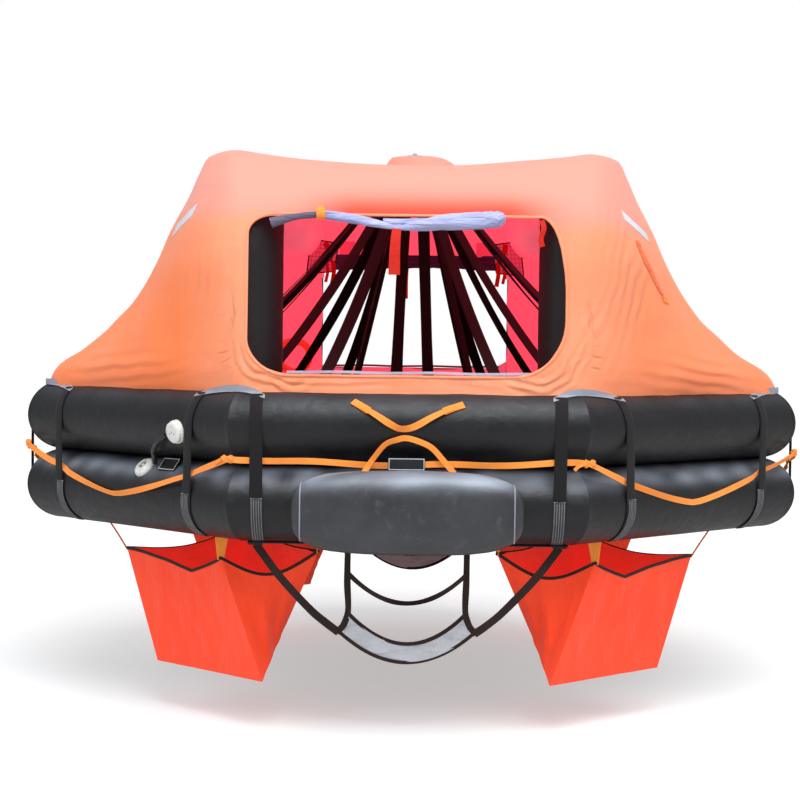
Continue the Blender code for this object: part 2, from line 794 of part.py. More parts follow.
def add_water_pockets(seats):
    rim = [Vector(p) for p in POCKET_RIM]
    base = [Vector(p) for p in POCKET_BOTTOM]
    faces = [(i, (i + 1) % 4, (i + 1) % 4 + 4, i + 4) for i in range(4)] + [(7, 6, 5, 4)]
    bag = face_outwards(mesh_object("water_pocket_1", rim + base, faces))
    wall = bag.modifiers.new("cloth", "SOLIDIFY")
    wall.thickness = POCKET_THICK
    wall.offset = -1
    wall.use_even_offset = True
    middle = sum(rim, Vector((0, 0, 0))) / 4
    pieces = [bag]
    for i, corner in enumerate(rim):
        spot = corner.lerp(middle, 0.010)
        top = FLOOR_TOP - FLOOR_THICK - SEAT_GAP if i > 1 else LOWER_Z - TUBE_RADIUS + 0.03
        bottom = corner.z - 0.022
        centre = (spot.x, spot.y, (top + bottom) / 2)
        pieces.append(block("tie", (0.014, 0.014, top - bottom), centre))
    pocket = joined("water_pocket_1", pieces)
    pocket = baked(cut(pocket, seats[0]))
    finish(pocket, red_bag_cloth)
    finish(mirrored(pocket, "water_pocket_2", flip_x=True), red_bag_cloth)
    finish(mirrored(pocket, "water_pocket_3", flip_y=True), red_bag_cloth)
    finish(mirrored(pocket, "water_pocket_4", flip_x=True, flip_y=True), red_bag_cloth)


def slung(ends_middle, half, x, above=0.0):
    """The height of a slack web below the ladder's hinge line."""
    ends, middle = ends_middle
    return middle + (ends - middle) * (x / half) ** 2 + above - LADDER_AXIS_Z


def spread(low, high, count):
    return [low + (high - low) * i / (count - 1) for i in range(count)]


def ladder_outlines():
    """The webbing ladder as flat outlines: the outside first, then the gaps between webs."""
    half_web = LADDER_WEB / 2
    inside, outside = LADDER_HALF - half_web, LADDER_HALF + half_web
    wide = 0.27
    left = [(-0.630, 0), (-0.570, 0), (-outside, -0.387 - LADDER_AXIS_Z), (-outside, 0), (-inside, 0)]
    rung = [(x, slung(RUNG_Z, LADDER_HALF, x, half_web)) for x in spread(-inside, inside, 7)]
    right = [(-x, z) for x, z in reversed(left)]
    corner = (0.2861, -0.4157 - LADDER_AXIS_Z)
    bottom = [(x, slung(STEP_BOTTOM, wide, x, -half_web)) for x in spread(wide, -wide, 9)]
    outer = left + rung + right + [corner] + bottom + [(-corner[0], corner[1])]
    gap = [(x, slung(RUNG_Z, LADDER_HALF, x, -half_web)) for x in spread(-inside, inside, 7)]
    gap += [(x, slung(STEP_TOP, LADDER_HALF, x, half_web)) for x in spread(inside, -inside, 7)]
    return outer, gap, step_outline(0)


def step_outline(shrink):
    half_web, wide = LADDER_WEB / 2, 0.27
    inside = LADDER_HALF - half_web - shrink
    top = [(x, slung(STEP_TOP, LADDER_HALF, x, -half_web - shrink)) for x in spread(-inside, inside, 7)]
    low = [(x, slung(STEP_BOTTOM, wide, x, half_web + shrink)) for x in spread(inside, -inside, 7)]
    return top + low


def add_ladders(seats):
    """A webbing ladder under each ramp, with a sheet step, which swings on its top hems."""
    stand = Matrix.Translation((0, -RING_APOTHEM, LADDER_AXIS_Z)) @ Matrix.Rotation(math.radians(90), 4, "X")
    pieces = [baked(plate("ladder_front", ladder_outlines(), WEB_THICK))]
    for x, wide in ((-STAY_TOP_X, 0.060), (-LADDER_HALF, 0.032), (LADDER_HALF, 0.032), (STAY_TOP_X, 0.060)):
        hem = cylinder("hem", LADDER_HEM, wide, 12)
        hem.data.transform(Matrix.Rotation(math.radians(90), 4, "Y"))
        hem.location = (x, 0, 0)
        pieces.append(hem)
    ladder = joined("ladder_front", pieces)
    ladder.matrix_world = stand
    step = baked(plate("ladder_step_front", [step_outline(2 * SEAT_GAP)], WEB_THICK))
    step.matrix_world = stand
    top = LADDER_AXIS_Z + LADDER_HEM + SEAT_GAP
    strip = block("ladder_strip_front", (1.260, 0.056, 0.020), (0, -RING_APOTHEM, top + 0.010))
    strip = baked(cut(strip, seats[0]))
    pieces = ((ladder, "ladder_rear", black_webbing), (step, "ladder_step_rear", step_sheet))
    for piece, other, material in pieces + ((strip, "ladder_strip_rear", black_webbing),):
        finish(piece, material)
        copy = finish(mirrored(piece, other, flip_y=True), material)
        if piece is not strip:
            copy.data.transform(Matrix.Translation((0, -RING_APOTHEM, -LADDER_AXIS_Z)))
            copy.location = (0, RING_APOTHEM, LADDER_AXIS_Z)


def add_gas_cylinder():
    """The inflation cylinder, in a pouch under the floor."""
    radius, half, centre_z = 0.080, 0.30, -0.150
    bottle = [(0, half), (0.030, half), (0.030, half - 0.03), (0.062, half - 0.055), (radius, half - 0.10)]
    bottle += [(radius, 0.06 - half), (0.060, 0.02 - half), (0, -half)]
    cylinder_body = turned("gas_cylinder", bottle, 16)
    place = Matrix.Translation((0, 0.55, centre_z)) @ Matrix.Rotation(math.radians(90), 4, "Y")
    cylinder_body.matrix_world = place
    finish(cylinder_body, red_bag_cloth)
    under = FLOOR_TOP - FLOOR_THICK - SEAT_GAP
    pouch = block("cylinder_pouch", (0.300, 0.130, under - centre_z), (0, 0.55, (under + centre_z) / 2))
    shape = cylinder("cut_cylinder", radius + 3 * SEAT_GAP, 1.0, 16)
    shape.matrix_world = place
    finish(cut(pouch, as_cutter(shape)), black_webbing)


def add_righting_strap():
    under = FLOOR_TOP - FLOOR_THICK - SEAT_GAP - WEB_THICK / 2
    strap = block("righting_strap", (2.70, WEB_WIDTH, WEB_THICK), (0, 0, under))
    finish(strap, black_webbing)


def add_quoit():
    """The coiled line with its ring, tied to the rear left arch leg above the tube."""
    bpy.ops.mesh.primitive_torus_add(major_segments=18, minor_segments=8, major_radius=0.085, minor_radius=0.022)
    coil = bpy.context.active_object
    coil.name = "rescue_quoit"
    coil.data.transform(Matrix.Rotation(math.radians(90), 4, "X"))
    coil.location = (-ARCH_X, ARCH_LEG_Y - ARCH_RADIUS - 0.0186, 0.670)
    finish(coil, red_rope)


def main():
    seats = tube_cutters()
    add_rings()
    add_floor(seats)
    add_arches(seats)
    add_canopy(seats)
    add_curtains()
    add_ramps(seats)
    add_corner_straps()
    add_bridle(seats)
    add_lifting_gear()
    add_lifeline()
    add_handles(seats)
    add_ramp_handles(seats)
    add_valves(seats)
    add_labels(seats)
    add_water_pockets(seats)
    add_ladders(seats)
    add_gas_cylinder()
    add_righting_strap()
    add_quoit()


main()
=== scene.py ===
import math

import bpy
import numpy as np
from mathutils import Matrix, Vector


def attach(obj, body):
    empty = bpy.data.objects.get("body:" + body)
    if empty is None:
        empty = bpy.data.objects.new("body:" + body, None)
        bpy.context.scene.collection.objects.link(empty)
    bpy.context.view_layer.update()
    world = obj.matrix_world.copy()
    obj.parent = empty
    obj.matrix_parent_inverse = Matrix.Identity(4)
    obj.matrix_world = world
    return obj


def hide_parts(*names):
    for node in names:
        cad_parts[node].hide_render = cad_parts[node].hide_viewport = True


# Inflatable life raft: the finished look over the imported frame. Metres, +Z up, front at -Y.
print("raft: loading the frame")
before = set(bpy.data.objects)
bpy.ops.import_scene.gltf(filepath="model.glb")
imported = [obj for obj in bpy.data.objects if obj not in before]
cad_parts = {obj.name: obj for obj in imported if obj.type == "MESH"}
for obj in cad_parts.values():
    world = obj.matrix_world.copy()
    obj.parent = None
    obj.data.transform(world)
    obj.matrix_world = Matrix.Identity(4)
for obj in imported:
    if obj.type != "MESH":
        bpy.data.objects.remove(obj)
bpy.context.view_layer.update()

# sizes shared by several pieces, the same as the frame's
tube = {"radius": 0.1525, "apothem": 1.5375, "lowerZ": 0.1025, "upperZ": 0.4078}
door = {"half": 0.620, "bottom": 0.612, "top": 1.23, "shift": -0.015,
        "corners": ((0.095, 0.30), (0.10, 0.07), (0.17, 0.14), (0.20, 0.22))}
arch = {"x": 0.655, "radius": 0.145, "legY": 1.41, "topZ": 1.358, "bend": 0.25}
halfTurn = math.tan(math.radians(22.5))


# Linear light of an sRGB hex code: ((c + 0.055) / 1.055) ** 2.4, or c / 12.92 near black.
def toLinear(code):
    parts = [int(code[i:i + 2], 16) / 255 for i in (1, 3, 5)]
    return tuple(c / 12.92 if c <= 0.04045 else ((c + 0.055) / 1.055) ** 2.4 for c in parts) + (1.0,)


# One node with its settings, its inputs given as values or as sockets to link.
def addNode(tree, kind, links=None, **settings):
    made = tree.nodes.new(kind)
    for key, value in settings.items():
        setattr(made, key, value)
    for key, value in (links or {}).items():
        if isinstance(value, bpy.types.NodeSocket):
            tree.links.new(value, made.inputs[key])
        else:
            made.inputs[key].default_value = value
    return made


# A new material with its shader's sockets set, and a cloud pattern for each row of scale,
# detail, roughness and distortion.
def startMaterial(name, sockets, *clouds):
    made = bpy.data.materials.new(name)
    made.use_nodes = True
    tree = made.node_tree
    shader = tree.nodes["Principled BSDF"]
    for key, value in sockets.items():
        shader.inputs[key].default_value = value
    place = addNode(tree, "ShaderNodeTexCoord").outputs
    inputs = [{"Vector": place["Object"], "Scale": scale, "Detail": detail, "Roughness": rough,
               "Distortion": twist} for scale, detail, rough, twist in clouds]
    patterns = [addNode(tree, "ShaderNodeTexNoise", values).outputs["Fac"] for values in inputs]
    return made, tree, shader, place, *patterns


# Lays colours over one another, each by the share that its socket gives over a range, and stacks
# bumps, each of a height, a strength and a distance in metres.
def finishMaterial(tree, shader, colour, layers, bumps=()):
    mixed = toLinear(colour)
    for share, code, *span in layers:
        if span:
            share = addNode(tree, "ShaderNodeMapRange", {"Value": share, "From Min": span[0],
                                                         "From Max": span[1], "To Max": span[2]}).outputs[0]
        mixed = addNode(tree, "ShaderNodeMix", {0: share, 6: mixed, 7: toLinear(code)},
                        data_type="RGBA").outputs[2]
    tree.links.new(mixed, shader.inputs["Base Color"])
    under = {}
    for height, strength, distance in bumps:
        bump = addNode(tree, "ShaderNodeBump", {"Height": height, "Strength": strength,
                                                "Distance": distance, **under})
        under = {"Normal": bump.outputs[0]}
    if under:
        tree.links.new(under["Normal"], shader.inputs["Normal"])


# Works a formula out in a tree: each step names its result, its operation and what it works on.
def workOut(tree, known, steps):
    for name, operation, *parts in steps:
        sockets = {k: known[part] if isinstance(part, str) else part for k, part in enumerate(parts)}
        known[name] = addNode(tree, "ShaderNodeMath", sockets, operation=operation).outputs[0]
    return known[name]


# each kind of fold: what its wave runs by, in radians a metre, where its bell curves are, with
# their middles and widths, what else lets it show, its depth in metres, and whether it is thin
pleats = (
    # rings round the doorway's lower corners, short dents in a fan beyond them, the sill's folds
    ({"reach": 155.0, "wander": 17.0}, (("reach", 0.200, 0.038),), ("below", "beyond", "front"),
     0.0040, False),
    ({"turn": 42.0, "wander": 11.0}, (("rayReach", 0.268, 0.024), ("turn", -0.34, 0.17)), ("some", "front"),
     -0.0060, True),
    ({"z": 150.0, "x": 7.0, "wander": 9.0}, (("z", 0.580, 0.024),), ("sill", "some", "front"), 0.0022, False),
    # long folds that lean left, dents beside the doorway, low folds over the flanks' feet
    ({"x": 128.0, "lean": 1.0, "broad": 23.0}, (("x", 0.84, 0.13), ("z", 0.92, 0.24)), ("some",),
     "heavy", False),
    ({"x": 118.0, "z": 22.0, "wander": 15.0}, (("x", 0.705, 0.040), ("z", 0.83, 0.085)), ("front",),
     -0.0065, True),
    ({"z": 118.0, "x": 16.0, "broad": 9.0}, (("x", 1.22, 0.22), ("z", 0.62, 0.075)), (), 0.0042, False))


# The canopy's pleats, as a height in metres over its skin. Each kind is a sine of an angle times
# a bell curve exp(-sum(((place - middle) / width) ** 2)), and their heights add up.
def pleatHeight(tree, place):
    axes = addNode(tree, "ShaderNodeSeparateXYZ", {0: place}).outputs
    known = {"side": axes[0], "y": axes[1], "z": axes[2], "height": 0.0}
    for name, scale, detail in (("wander", 5.0, 3.0), ("broad", 2.6, 2.0)):
        cloud = addNode(tree, "ShaderNodeTexNoise", {"Vector": place, "Scale": scale, "Detail": detail})
        known[name] = cloud.outputs["Fac"]
    # the distance from the doorway's corner and the angle round it
    steps = [("x", "ABSOLUTE", "side"), ("y", "ABSOLUTE", "y"), ("wander", "SUBTRACT", "wander", 0.5),
             ("broad", "SUBTRACT", "broad", 0.5), ("offX", "SUBTRACT", "x", 0.475),
             ("offZ", "SUBTRACT", "z", 0.765), ("reach", "MULTIPLY", "offX", "offX"),
             ("reach", "MULTIPLY_ADD", "offZ", "offZ", "reach"), ("reach", "SQRT", "reach"),
             ("turn", "ARCTAN2", "offZ", "offX"), ("rayReach", "MULTIPLY_ADD", "wander", -0.07, "reach"),
             ("heavy", "MULTIPLY_ADD", "side", 0.0013, 0.0032)]
    for name, of, slope, start, low, high in (
            ("front", "y", 20.0, -30.0, 0.0, 1.0), ("some", "broad", 5.0, 0.75, 0.15, 1.4),
            ("below", "offZ", -9.0, 0.1, 0.0, 1.0), ("beyond", "offX", 9.0, 1.2, 0.0, 1.0),
            ("sill", "x", -8.0, 4.6, 0.0, 1.0), ("lean", "side", -60.0, 0.0, -38.0, 26.0)):
        steps += [(name, "MULTIPLY_ADD", of, slope, start), (name, "MAXIMUM", name, low),
                  (name, "MINIMUM", name, high)]
    steps.append(("lean", "MULTIPLY", "lean", "z"))
    for waves, bells, gates, deep, thin in pleats:
        steps.append(("a", "MULTIPLY", 0.0, 0.0))
        steps += [("a", "MULTIPLY_ADD", name, factor, "a") for name, factor in waves.items()]
        steps += [("a", "SINE", "a")] + [("a", "MAXIMUM", "a", 0.0), ("a", "POWER", "a", 2.5)] * thin
        steps.append(("b", "MULTIPLY", 0.0, 0.0))
        for name, middle, wide in bells:
            steps += [("c", "SUBTRACT", name, middle), ("c", "DIVIDE", "c", wide),
                      ("b", "MULTIPLY_ADD", "c", "c", "b")]
        steps += [("b", "MULTIPLY", "b", -1.0), ("b", "EXPONENT", "b"),
                  *[("b", "MULTIPLY", "b", gate) for gate in gates], ("a", "MULTIPLY", "a", "b"),
                  ("height", "MULTIPLY_ADD", "a", deep, "height")]
    return workOut(tree, known, steps)


# Coated cloth: woven nylon under a flexible coating. The eye gets a soft even colour with
# cloudy patches, faint threads where light grazes it, and slack creases. A glow, and attributes
# of painted light and shade, may be laid on it.
def coatedCloth(name, colour, pale, dirty, rough=0.6, sheen=0.15, gloss=0.35, glow=0.0, dirt=0.2, crease=0.5,
                creaseScale=3.2, creaseWay=(1, 1, 2.2), paintedLight=None):
    sockets = {"Roughness": rough, "Sheen Weight": sheen, "Sheen Roughness": 0.5, "Specular IOR Level": gloss}
    made, tree, shader, place, cloud, grime = startMaterial(
        name, sockets, (2.2, 5.0, 0.6, 0.0), (9.0, 8.0, 0.7, 0.0))
    # painted light: the cloth gives out its own colour, as though lit through from behind
    if glow:
        shader.inputs["Emission Color"].default_value = toLinear(colour)
        shader.inputs["Emission Strength"].default_value = glow
    layers = [(cloud, pale, 0.35, 0.68, 1.0), (grime, dirty, 0.58, 0.80, dirt)]
    # painted light and shade, each laid on by the share in the attribute of its name
    for key, code in (paintedLight or {}).items():
        layers.append((addNode(tree, "ShaderNodeAttribute", attribute_name=key).outputs["Fac"], code))
    # threads are 0.4 mm apart on the real cloth, drawn at 2.5 mm so that they show
    across, along = (addNode(tree, "ShaderNodeTexWave", {"Vector": place["UV"], "Scale": 126.0},
                             bands_direction=way).outputs["Fac"] for way in "XY")
    weave = addNode(tree, "ShaderNodeMath", {0: across, 1: along}, operation="ADD").outputs[0]
    stretch = addNode(tree, "ShaderNodeMapping", {"Vector": place["Object"], "Scale": creaseWay}).outputs[0]
    slack = addNode(tree, "ShaderNodeTexNoise", {"Vector": stretch, "Scale": creaseScale, "Detail": 6.0,
                                                 "Roughness": 0.55, "Distortion": 0.7}).outputs["Fac"]
    bumps = [(weave, 0.10, 0.0006), (slack, crease, 0.03)]
    if paintedLight:
        bumps.append((pleatHeight(tree, place["Object"]), 1.0, 1.0))
    finishMaterial(tree, shader, colour, layers, bumps)
    return made


# Calendered rubber on cloth: black hull fabric. The eye gets a dull bluish sheen, chalky
# dust and scuffs, and small puckers from being folded in its pack.
def hullRubber(name, colour, pale, dusty, rough, gloss=0.5, sheen=0.1, dust=0.25, fold=0.25, puckers=11.0,
               dustAndHighlight=None):
    made, tree, shader, _, cloud, scuff, pucker = startMaterial(
        name, {"Specular IOR Level": gloss, "Sheen Weight": sheen},
        (3.0, 7.0, 0.65, 0.0), (24.0, 9.0, 0.75, 0.4), (puckers, 5.0, 0.5, 1.2))
    layers = [(cloud, pale, 0.38, 0.72, 1.0), (scuff, dusty, 0.56, 0.78, dust)]
    # a band of dust on the faces that look up, which is also a painted highlight
    if dustAndHighlight:
        layers.append((addNode(tree, "ShaderNodeAttribute", attribute_name="dustAndHighlight").outputs["Fac"],
                       dustAndHighlight))
    dull = addNode(tree, "ShaderNodeMapRange", {"Value": scuff, "From Min": 0.3, "From Max": 0.7,
                                                "To Min": rough - 0.08, "To Max": rough + 0.12})
    tree.links.new(dull.outputs[0], shader.inputs["Roughness"])
    finishMaterial(tree, shader, colour, layers, [(pucker, fold, 0.012), (scuff, 0.12, 0.002)])
    return made


# Woven polyester webbing: ribs across the strap every 2 mm, drawn at 3 mm, and a selvedge
# along each edge. The eye gets a matt strap with a ribbed glint and fuzzy colour.
def wovenWebbing(name, colour, pale, glow=0.0):
    made, tree, shader, place, wear = startMaterial(
        name, {"Roughness": 0.8, "Sheen Weight": 0.08, "Specular IOR Level": 0.3}, (14.0, 6.0, 0.5, 0.0))
    # painted light: the strap gives out its own colour, so that it shows bright in the shade
    if glow:
        shader.inputs["Emission Color"].default_value = toLinear(colour)
        shader.inputs["Emission Strength"].default_value = glow
    ribs, strands = (
        addNode(tree, "ShaderNodeTexWave", {"Vector": place["UV"], "Scale": scale, "Distortion": twist},
                bands_direction=way).outputs["Fac"]
        for way, scale, twist in (("X", 105.0, 0.6), ("Y", 70.0, 0.0)))
    cloth = addNode(tree, "ShaderNodeMath", {0: ribs, 1: strands}, operation="MULTIPLY").outputs[0]
    share = addNode(tree, "ShaderNodeMath", {0: cloth, 1: wear}, operation="MULTIPLY").outputs[0]
    finishMaterial(tree, shader, colour, [(share, pale)], [(cloth, 0.5, 0.0012)])
    return made


# Moulded nylon: an even, slightly waxy plastic with a fine moulded grain.
def mouldedNylon(name, colour, pale, rough=0.38):
    made, tree, shader, _, soil, grain = startMaterial(
        name, {"Roughness": rough, "IOR": 1.53}, (40.0, 6.0, 0.5, 0.0), (600.0, 2.0, 0.5, 0.0))
    finishMaterial(tree, shader, colour, [(soil, pale, 0.5, 0.8, 1.0)], [(grain, 0.15, 0.0004)])
    return made


# Stainless steel, drop forged and tumbled: grey metal with a brushed haze.
def forgedSteel(name):
    made, tree, shader, _, haze = startMaterial(name, {"Metallic": 1.0}, (90.0, 5.0, 0.5, 0.0))
    dull = addNode(tree, "ShaderNodeMapRange", {"Value": haze, "To Min": 0.22, "To Max": 0.48})
    tree.links.new(dull.outputs[0], shader.inputs["Roughness"])
    finishMaterial(tree, shader, "#A9ABAF", [(haze, "#CFD0D2")])
    return made


# Glass-bead tape: pale silver with a cellular pattern that scatters light.
def beadTape(name):
    made, tree, shader, place = startMaterial(name, {"Roughness": 0.35, "Coat Weight": 0.4})
    cells = addNode(tree, "ShaderNodeTexVoronoi", {"Vector": place["UV"], "Scale": 160.0}).outputs["Distance"]
    finishMaterial(tree, shader, "#F2F0F4", [(cells, "#C9C8D2")])
    return made


# Screen-printed sheet: a black plate with a thin white border, nothing written on it.
# The border runs by the piece's own UV map, which gives 0 to 1 across the plate.
def borderedPlate(name, wide, tall, inset=0.0042, line=0.0026):
    made, tree, shader, place = startMaterial(name, {"Roughness": 0.45})
    across = addNode(tree, "ShaderNodeSeparateXYZ", {0: place["UV"]}).outputs
    steps = []
    for axis, size in (("u", wide), ("v", tall)):
        steps += [(axis, "SUBTRACT", axis, 0.5), (axis, "ABSOLUTE", axis), (axis, "SUBTRACT", 0.5, axis),
                  (axis, "MULTIPLY", axis, size)]
    steps += [("edge", "MINIMUM", "u", "v"), ("edge", "SUBTRACT", "edge", inset),
              ("edge", "ABSOLUTE", "edge"), ("edge", "LESS_THAN", "edge", line / 2)]
    finishMaterial(tree, shader, "#17171A", [(workOut(tree, {"u": across[0], "v": across[1]}, steps),
                                              "#DCDCE0")])
    return made


print("raft: materials")
rolled = {"creaseScale": 16.0, "creaseWay": (0.5, 3, 3)}
mats = {
    # painted light and shade on the canopy: deeper colour over the flanks, paler over the arches, a red glow
    # over the doorway, and a faint glow all over
    "canopyCloth": coatedCloth("coatedNylonOrange", "#F28D63", "#F69B77", "#EA8052", 0.62, gloss=0.25,
                               glow=0.05, dirt=0.15, crease=0.25,
                               paintedLight={"tone": "#FF7B38", "bleach": "#EA9380", "blush": "#F1442C"}),
    # painted light: the lining glows with its own pink, lit through from behind by the day
    "innerCloth": coatedCloth("coatedNylonPink", "#F5566E", "#FF7082", "#E23E56", glow=0.74, crease=0.6),
    # painted light: the pockets' cloth glows a little with its own red
    "bagCloth": coatedCloth("coatedNylonRed", "#FB3F16", "#FC481F", "#EE3A1A", glow=0.20, crease=0.45,
                            creaseScale=7.0, creaseWay=(2.0, 2.0, 0.7)),
    # painted light: the pockets' inside glows with its own red
    "bagLining": coatedCloth("coatedNylonDeepRed", "#F0362A", "#F5442F", "#CC2A20", glow=0.36),
    "curtainCloth": coatedCloth("coatedNylonLavender", "#A4A6DA", "#C6C9EE", "#6C6EA2", 0.5,
                                crease=0.9, **rolled),
    # painted shade: a darker copy of the curtain's lavender, for its end in the shade
    "shadedCloth": coatedCloth("coatedNylonLavenderInShade", "#5A5062", "#6E6478", "#463C50",
                               crease=0.7, **rolled),
    # painted shade: a darker copy of the curtain's lavender, for the rear curtain lit from behind
    "headCloth": coatedCloth("coatedNylonLavenderBacklitShade", "#3C3562", "#4A4274", "#2E2850", crease=0.7, **rolled),
    # the tubes' band of dust is also a painted highlight
    "hull": hullRubber("rubberCoatedNylonBlack", "#0F0E10", "#18171A", "#3A3A41", 0.43, 0.40, 0.0, dust=0.30,
                       dustAndHighlight="#80858F"),
    "archHull": hullRubber("rubberCoatedNylonArch", "#140F10", "#1C1617", "#2C2528", 0.5, 0.3, 0.0),
    # the ramps' band of dust is also a painted highlight
    "rampRubber": hullRubber("rubberCoatedNylonGrey", "#1E1E21", "#34353A", "#63646C", 0.42, 0.70, 0.0,
                             dust=0.45, fold=0.35, puckers=7.0, dustAndHighlight="#9EA9B6"),
    "patchRubber": hullRubber("rubberPatchGrey", "#888A94", "#9EA2AE", "#B0B2BE", 0.6),
    "strapPatch": hullRubber("rubberPatchBlack", "#2A2A2C", "#343437", "#4A4A4E", 0.6, sheen=0.0),
    "stepSheet": coatedCloth("coatedStepSheet", "#C4C4CA", "#DADADF", "#9A9AA2", 0.55, dirt=0.5, crease=0.8,
                             creaseScale=12.0),
    "blackWebbing": wovenWebbing("polyesterWebbingBlack", "#0F0C0D", "#262022"),
    "brownWebbing": wovenWebbing("polyesterWebbingDark", "#2A1C19", "#4E3930"),
    # painted light: the orange webbing glows a little, so that the lifeline shows in the shade between the
    # tubes
    "orangeWebbing": wovenWebbing("polyesterWebbingOrange", "#F2852B", "#FFC474", 0.12),
    # painted light: the rope glows with its own red in the shade inside the canopy
    "redRope": wovenWebbing("polypropyleneRopeRed", "#E8322C", "#FF6A5C", 0.55),
    "tagCloth": coatedCloth("coatedNylonTag", "#C4241A", "#CC2C1E", "#AC1E18", 0.7, 0.0, 0.15),
    # painted light: the nets' panels and the wall patches glow, lit through from behind
    "netPanel": coatedCloth("meshPanelRed", "#D23A54", "#DC4660", "#B23048", 0.7, glow=0.60),
    "sleeveCloth": coatedCloth("coatedNylonDeepOrange", "#FB6A34", "#FC7640", "#EC5C2C",
                               crease=0.8, creaseScale=14.0),
    "sillCloth": coatedCloth("coatedNylonPaleGrey", "#9C95A6", "#B2ACBA", "#7E7688"),
    "whiteThread": mouldedNylon("nylonThreadWhite", "#8C8C90", "#A8A8AC", 0.7),
    "whiteNylon": mouldedNylon("mouldedNylonWhite", "#E2E1DA", "#B9B7AC"),
    "blackNylon": mouldedNylon("mouldedNylonBlack", "#1C1C1E", "#3A3A3D"),
    "steel": forgedSteel("stainlessSteelForged"),
    "beadTape": beadTape("glassBeadTape"),
    "redPaint": mouldedNylon("enamelledSteelRed", "#C9281C", "#DB4030", 0.3),
    "frontPlate": borderedPlate("printedPlateFront", 0.143, 0.050),
    "valvePlate": borderedPlate("printedPlateValve", 0.108, 0.060),
}


# Vectors divided by their lengths.
def unit(v):
    return v / np.maximum(np.linalg.norm(v, axis=-1, keepdims=True), 1e-9)


# Angles round a full turn, in radians.
def circle(count):
    return np.linspace(0, 2 * np.pi, count, endpoint=False)


# From 0 at start to 1 a reach further on, and level on both sides.
def fade(v, start, reach):
    return np.clip((v - start) / reach, 0, 1)


# A bell curve: exp(-((v - middle) / wide) ** 2).
def bell(v, middle, wide):
    return np.exp(-((v - middle) / wide) ** 2)


# Points from their x, y and z, any of which may be one value for all.
def spots(x, y, z):
    return np.stack(np.broadcast_arrays(x, y, z), axis=-1)


# Smooth noise: a sum of plane waves in random directions, between about -1 and 1.
def ripple(points, size, seed):
    rng, waves = np.random.default_rng(seed), 9
    ways = unit(rng.normal(size=(waves, 3))) * (2 * np.pi / (size * rng.uniform(0.6, 1.7, waves)))[:, None]
    angle = points @ ways.T + rng.uniform(0, 2 * np.pi, waves)
    return np.sin(angle).sum(axis=-1) / (1.5 * math.sqrt(waves))


# Rows of values carried through as a smooth curve: each stretch is a cubic whose slopes come
# from its neighbours.
def smoothRows(rows, steps):
    rows = np.asarray(rows, float)
    ends = np.concatenate([2 * rows[:1] - rows[1:2], rows, 2 * rows[-1:] - rows[-2:-1]])
    a, b, c, d = (ends[k:len(ends) - 3 + k, None] for k in range(4))
    t = (np.arange(steps) / steps)[None, :, None]
    slope, bow, swing = c - a, 2 * a - 5 * b + 4 * c - d, 3 * b - a - 3 * c + d
    made = 0.5 * (2 * b + slope * t + bow * t ** 2 + swing * t ** 3)
    return np.concatenate([made.reshape(-1, rows.shape[1]), rows[-1:]])


# One closed skin over a grid of points, rows along it and columns round it. Its flat ends are
# single faces, its faces point outwards, and its UV map runs in metres.
def skin(points, loop=False, slot=0):
    rows, cols = points.shape[:2]
    i, j = [g.ravel() for g in np.meshgrid(np.arange(rows if loop else rows - 1), np.arange(cols),
                                           indexing="ij")]
    corners = [(i, j), (i + 1, j), (i + 1, j + 1), (i, j + 1)]
    quads = np.stack([a % rows * cols + b % cols for a, b in corners], axis=1)
    along = np.linalg.norm(np.roll(points, -1, 0) - points, axis=2).mean(axis=1)
    across = np.linalg.norm(np.roll(points, -1, 1) - points, axis=2).mean(axis=0)
    along, across = (np.concatenate([[0], np.cumsum(v)]) for v in (along, across))
    uv = np.stack([np.stack([along[a], across[b]], axis=-1) for a, b in corners], axis=1).reshape(-1, 2)
    flat = points.reshape(-1, 3)
    p = flat - flat.mean(axis=0)
    a, b, c, d = (p[quads[:, k]] for k in range(4))
    outwards = np.einsum("ij,ij->", a, np.cross(b, c)) + np.einsum("ij,ij->", a, np.cross(c, d)) > 0
    if not outwards:
        quads, uv = quads[:, ::-1], uv.reshape(-1, 4, 2)[:, ::-1].reshape(-1, 2)
    faces = quads.tolist()
    if not loop:
        first, last = list(range(cols)), list(range((rows - 1) * cols, rows * cols))
        faces += [first, last[::-1]] if outwards else [first[::-1], last]
        uv = np.concatenate([uv] + [np.stack([np.zeros(cols), across[:cols]], 1)] * 2)
    return {"points": flat, "faces": faces, "uv": uv, "slot": slot}


# A thin sheet of two grids, closed round its edges.
def sheetSkin(front, back, slot=0):
    return skin(np.concatenate([front, back[:, ::-1]], axis=1), slot=slot)


# A thin pipe of two grids, closed at both ends. Its inner side may have a lining's slot.
def pipeSkin(outer, inner, lining=0):
    rows, cols = outer.shape[:2]
    made = skin(np.concatenate([outer, inner[::-1]]), loop=True)
    made["slot"] = np.zeros(2 * rows * cols, int)
    made["slot"][rows * cols:(2 * rows - 1) * cols] = lining
    return made


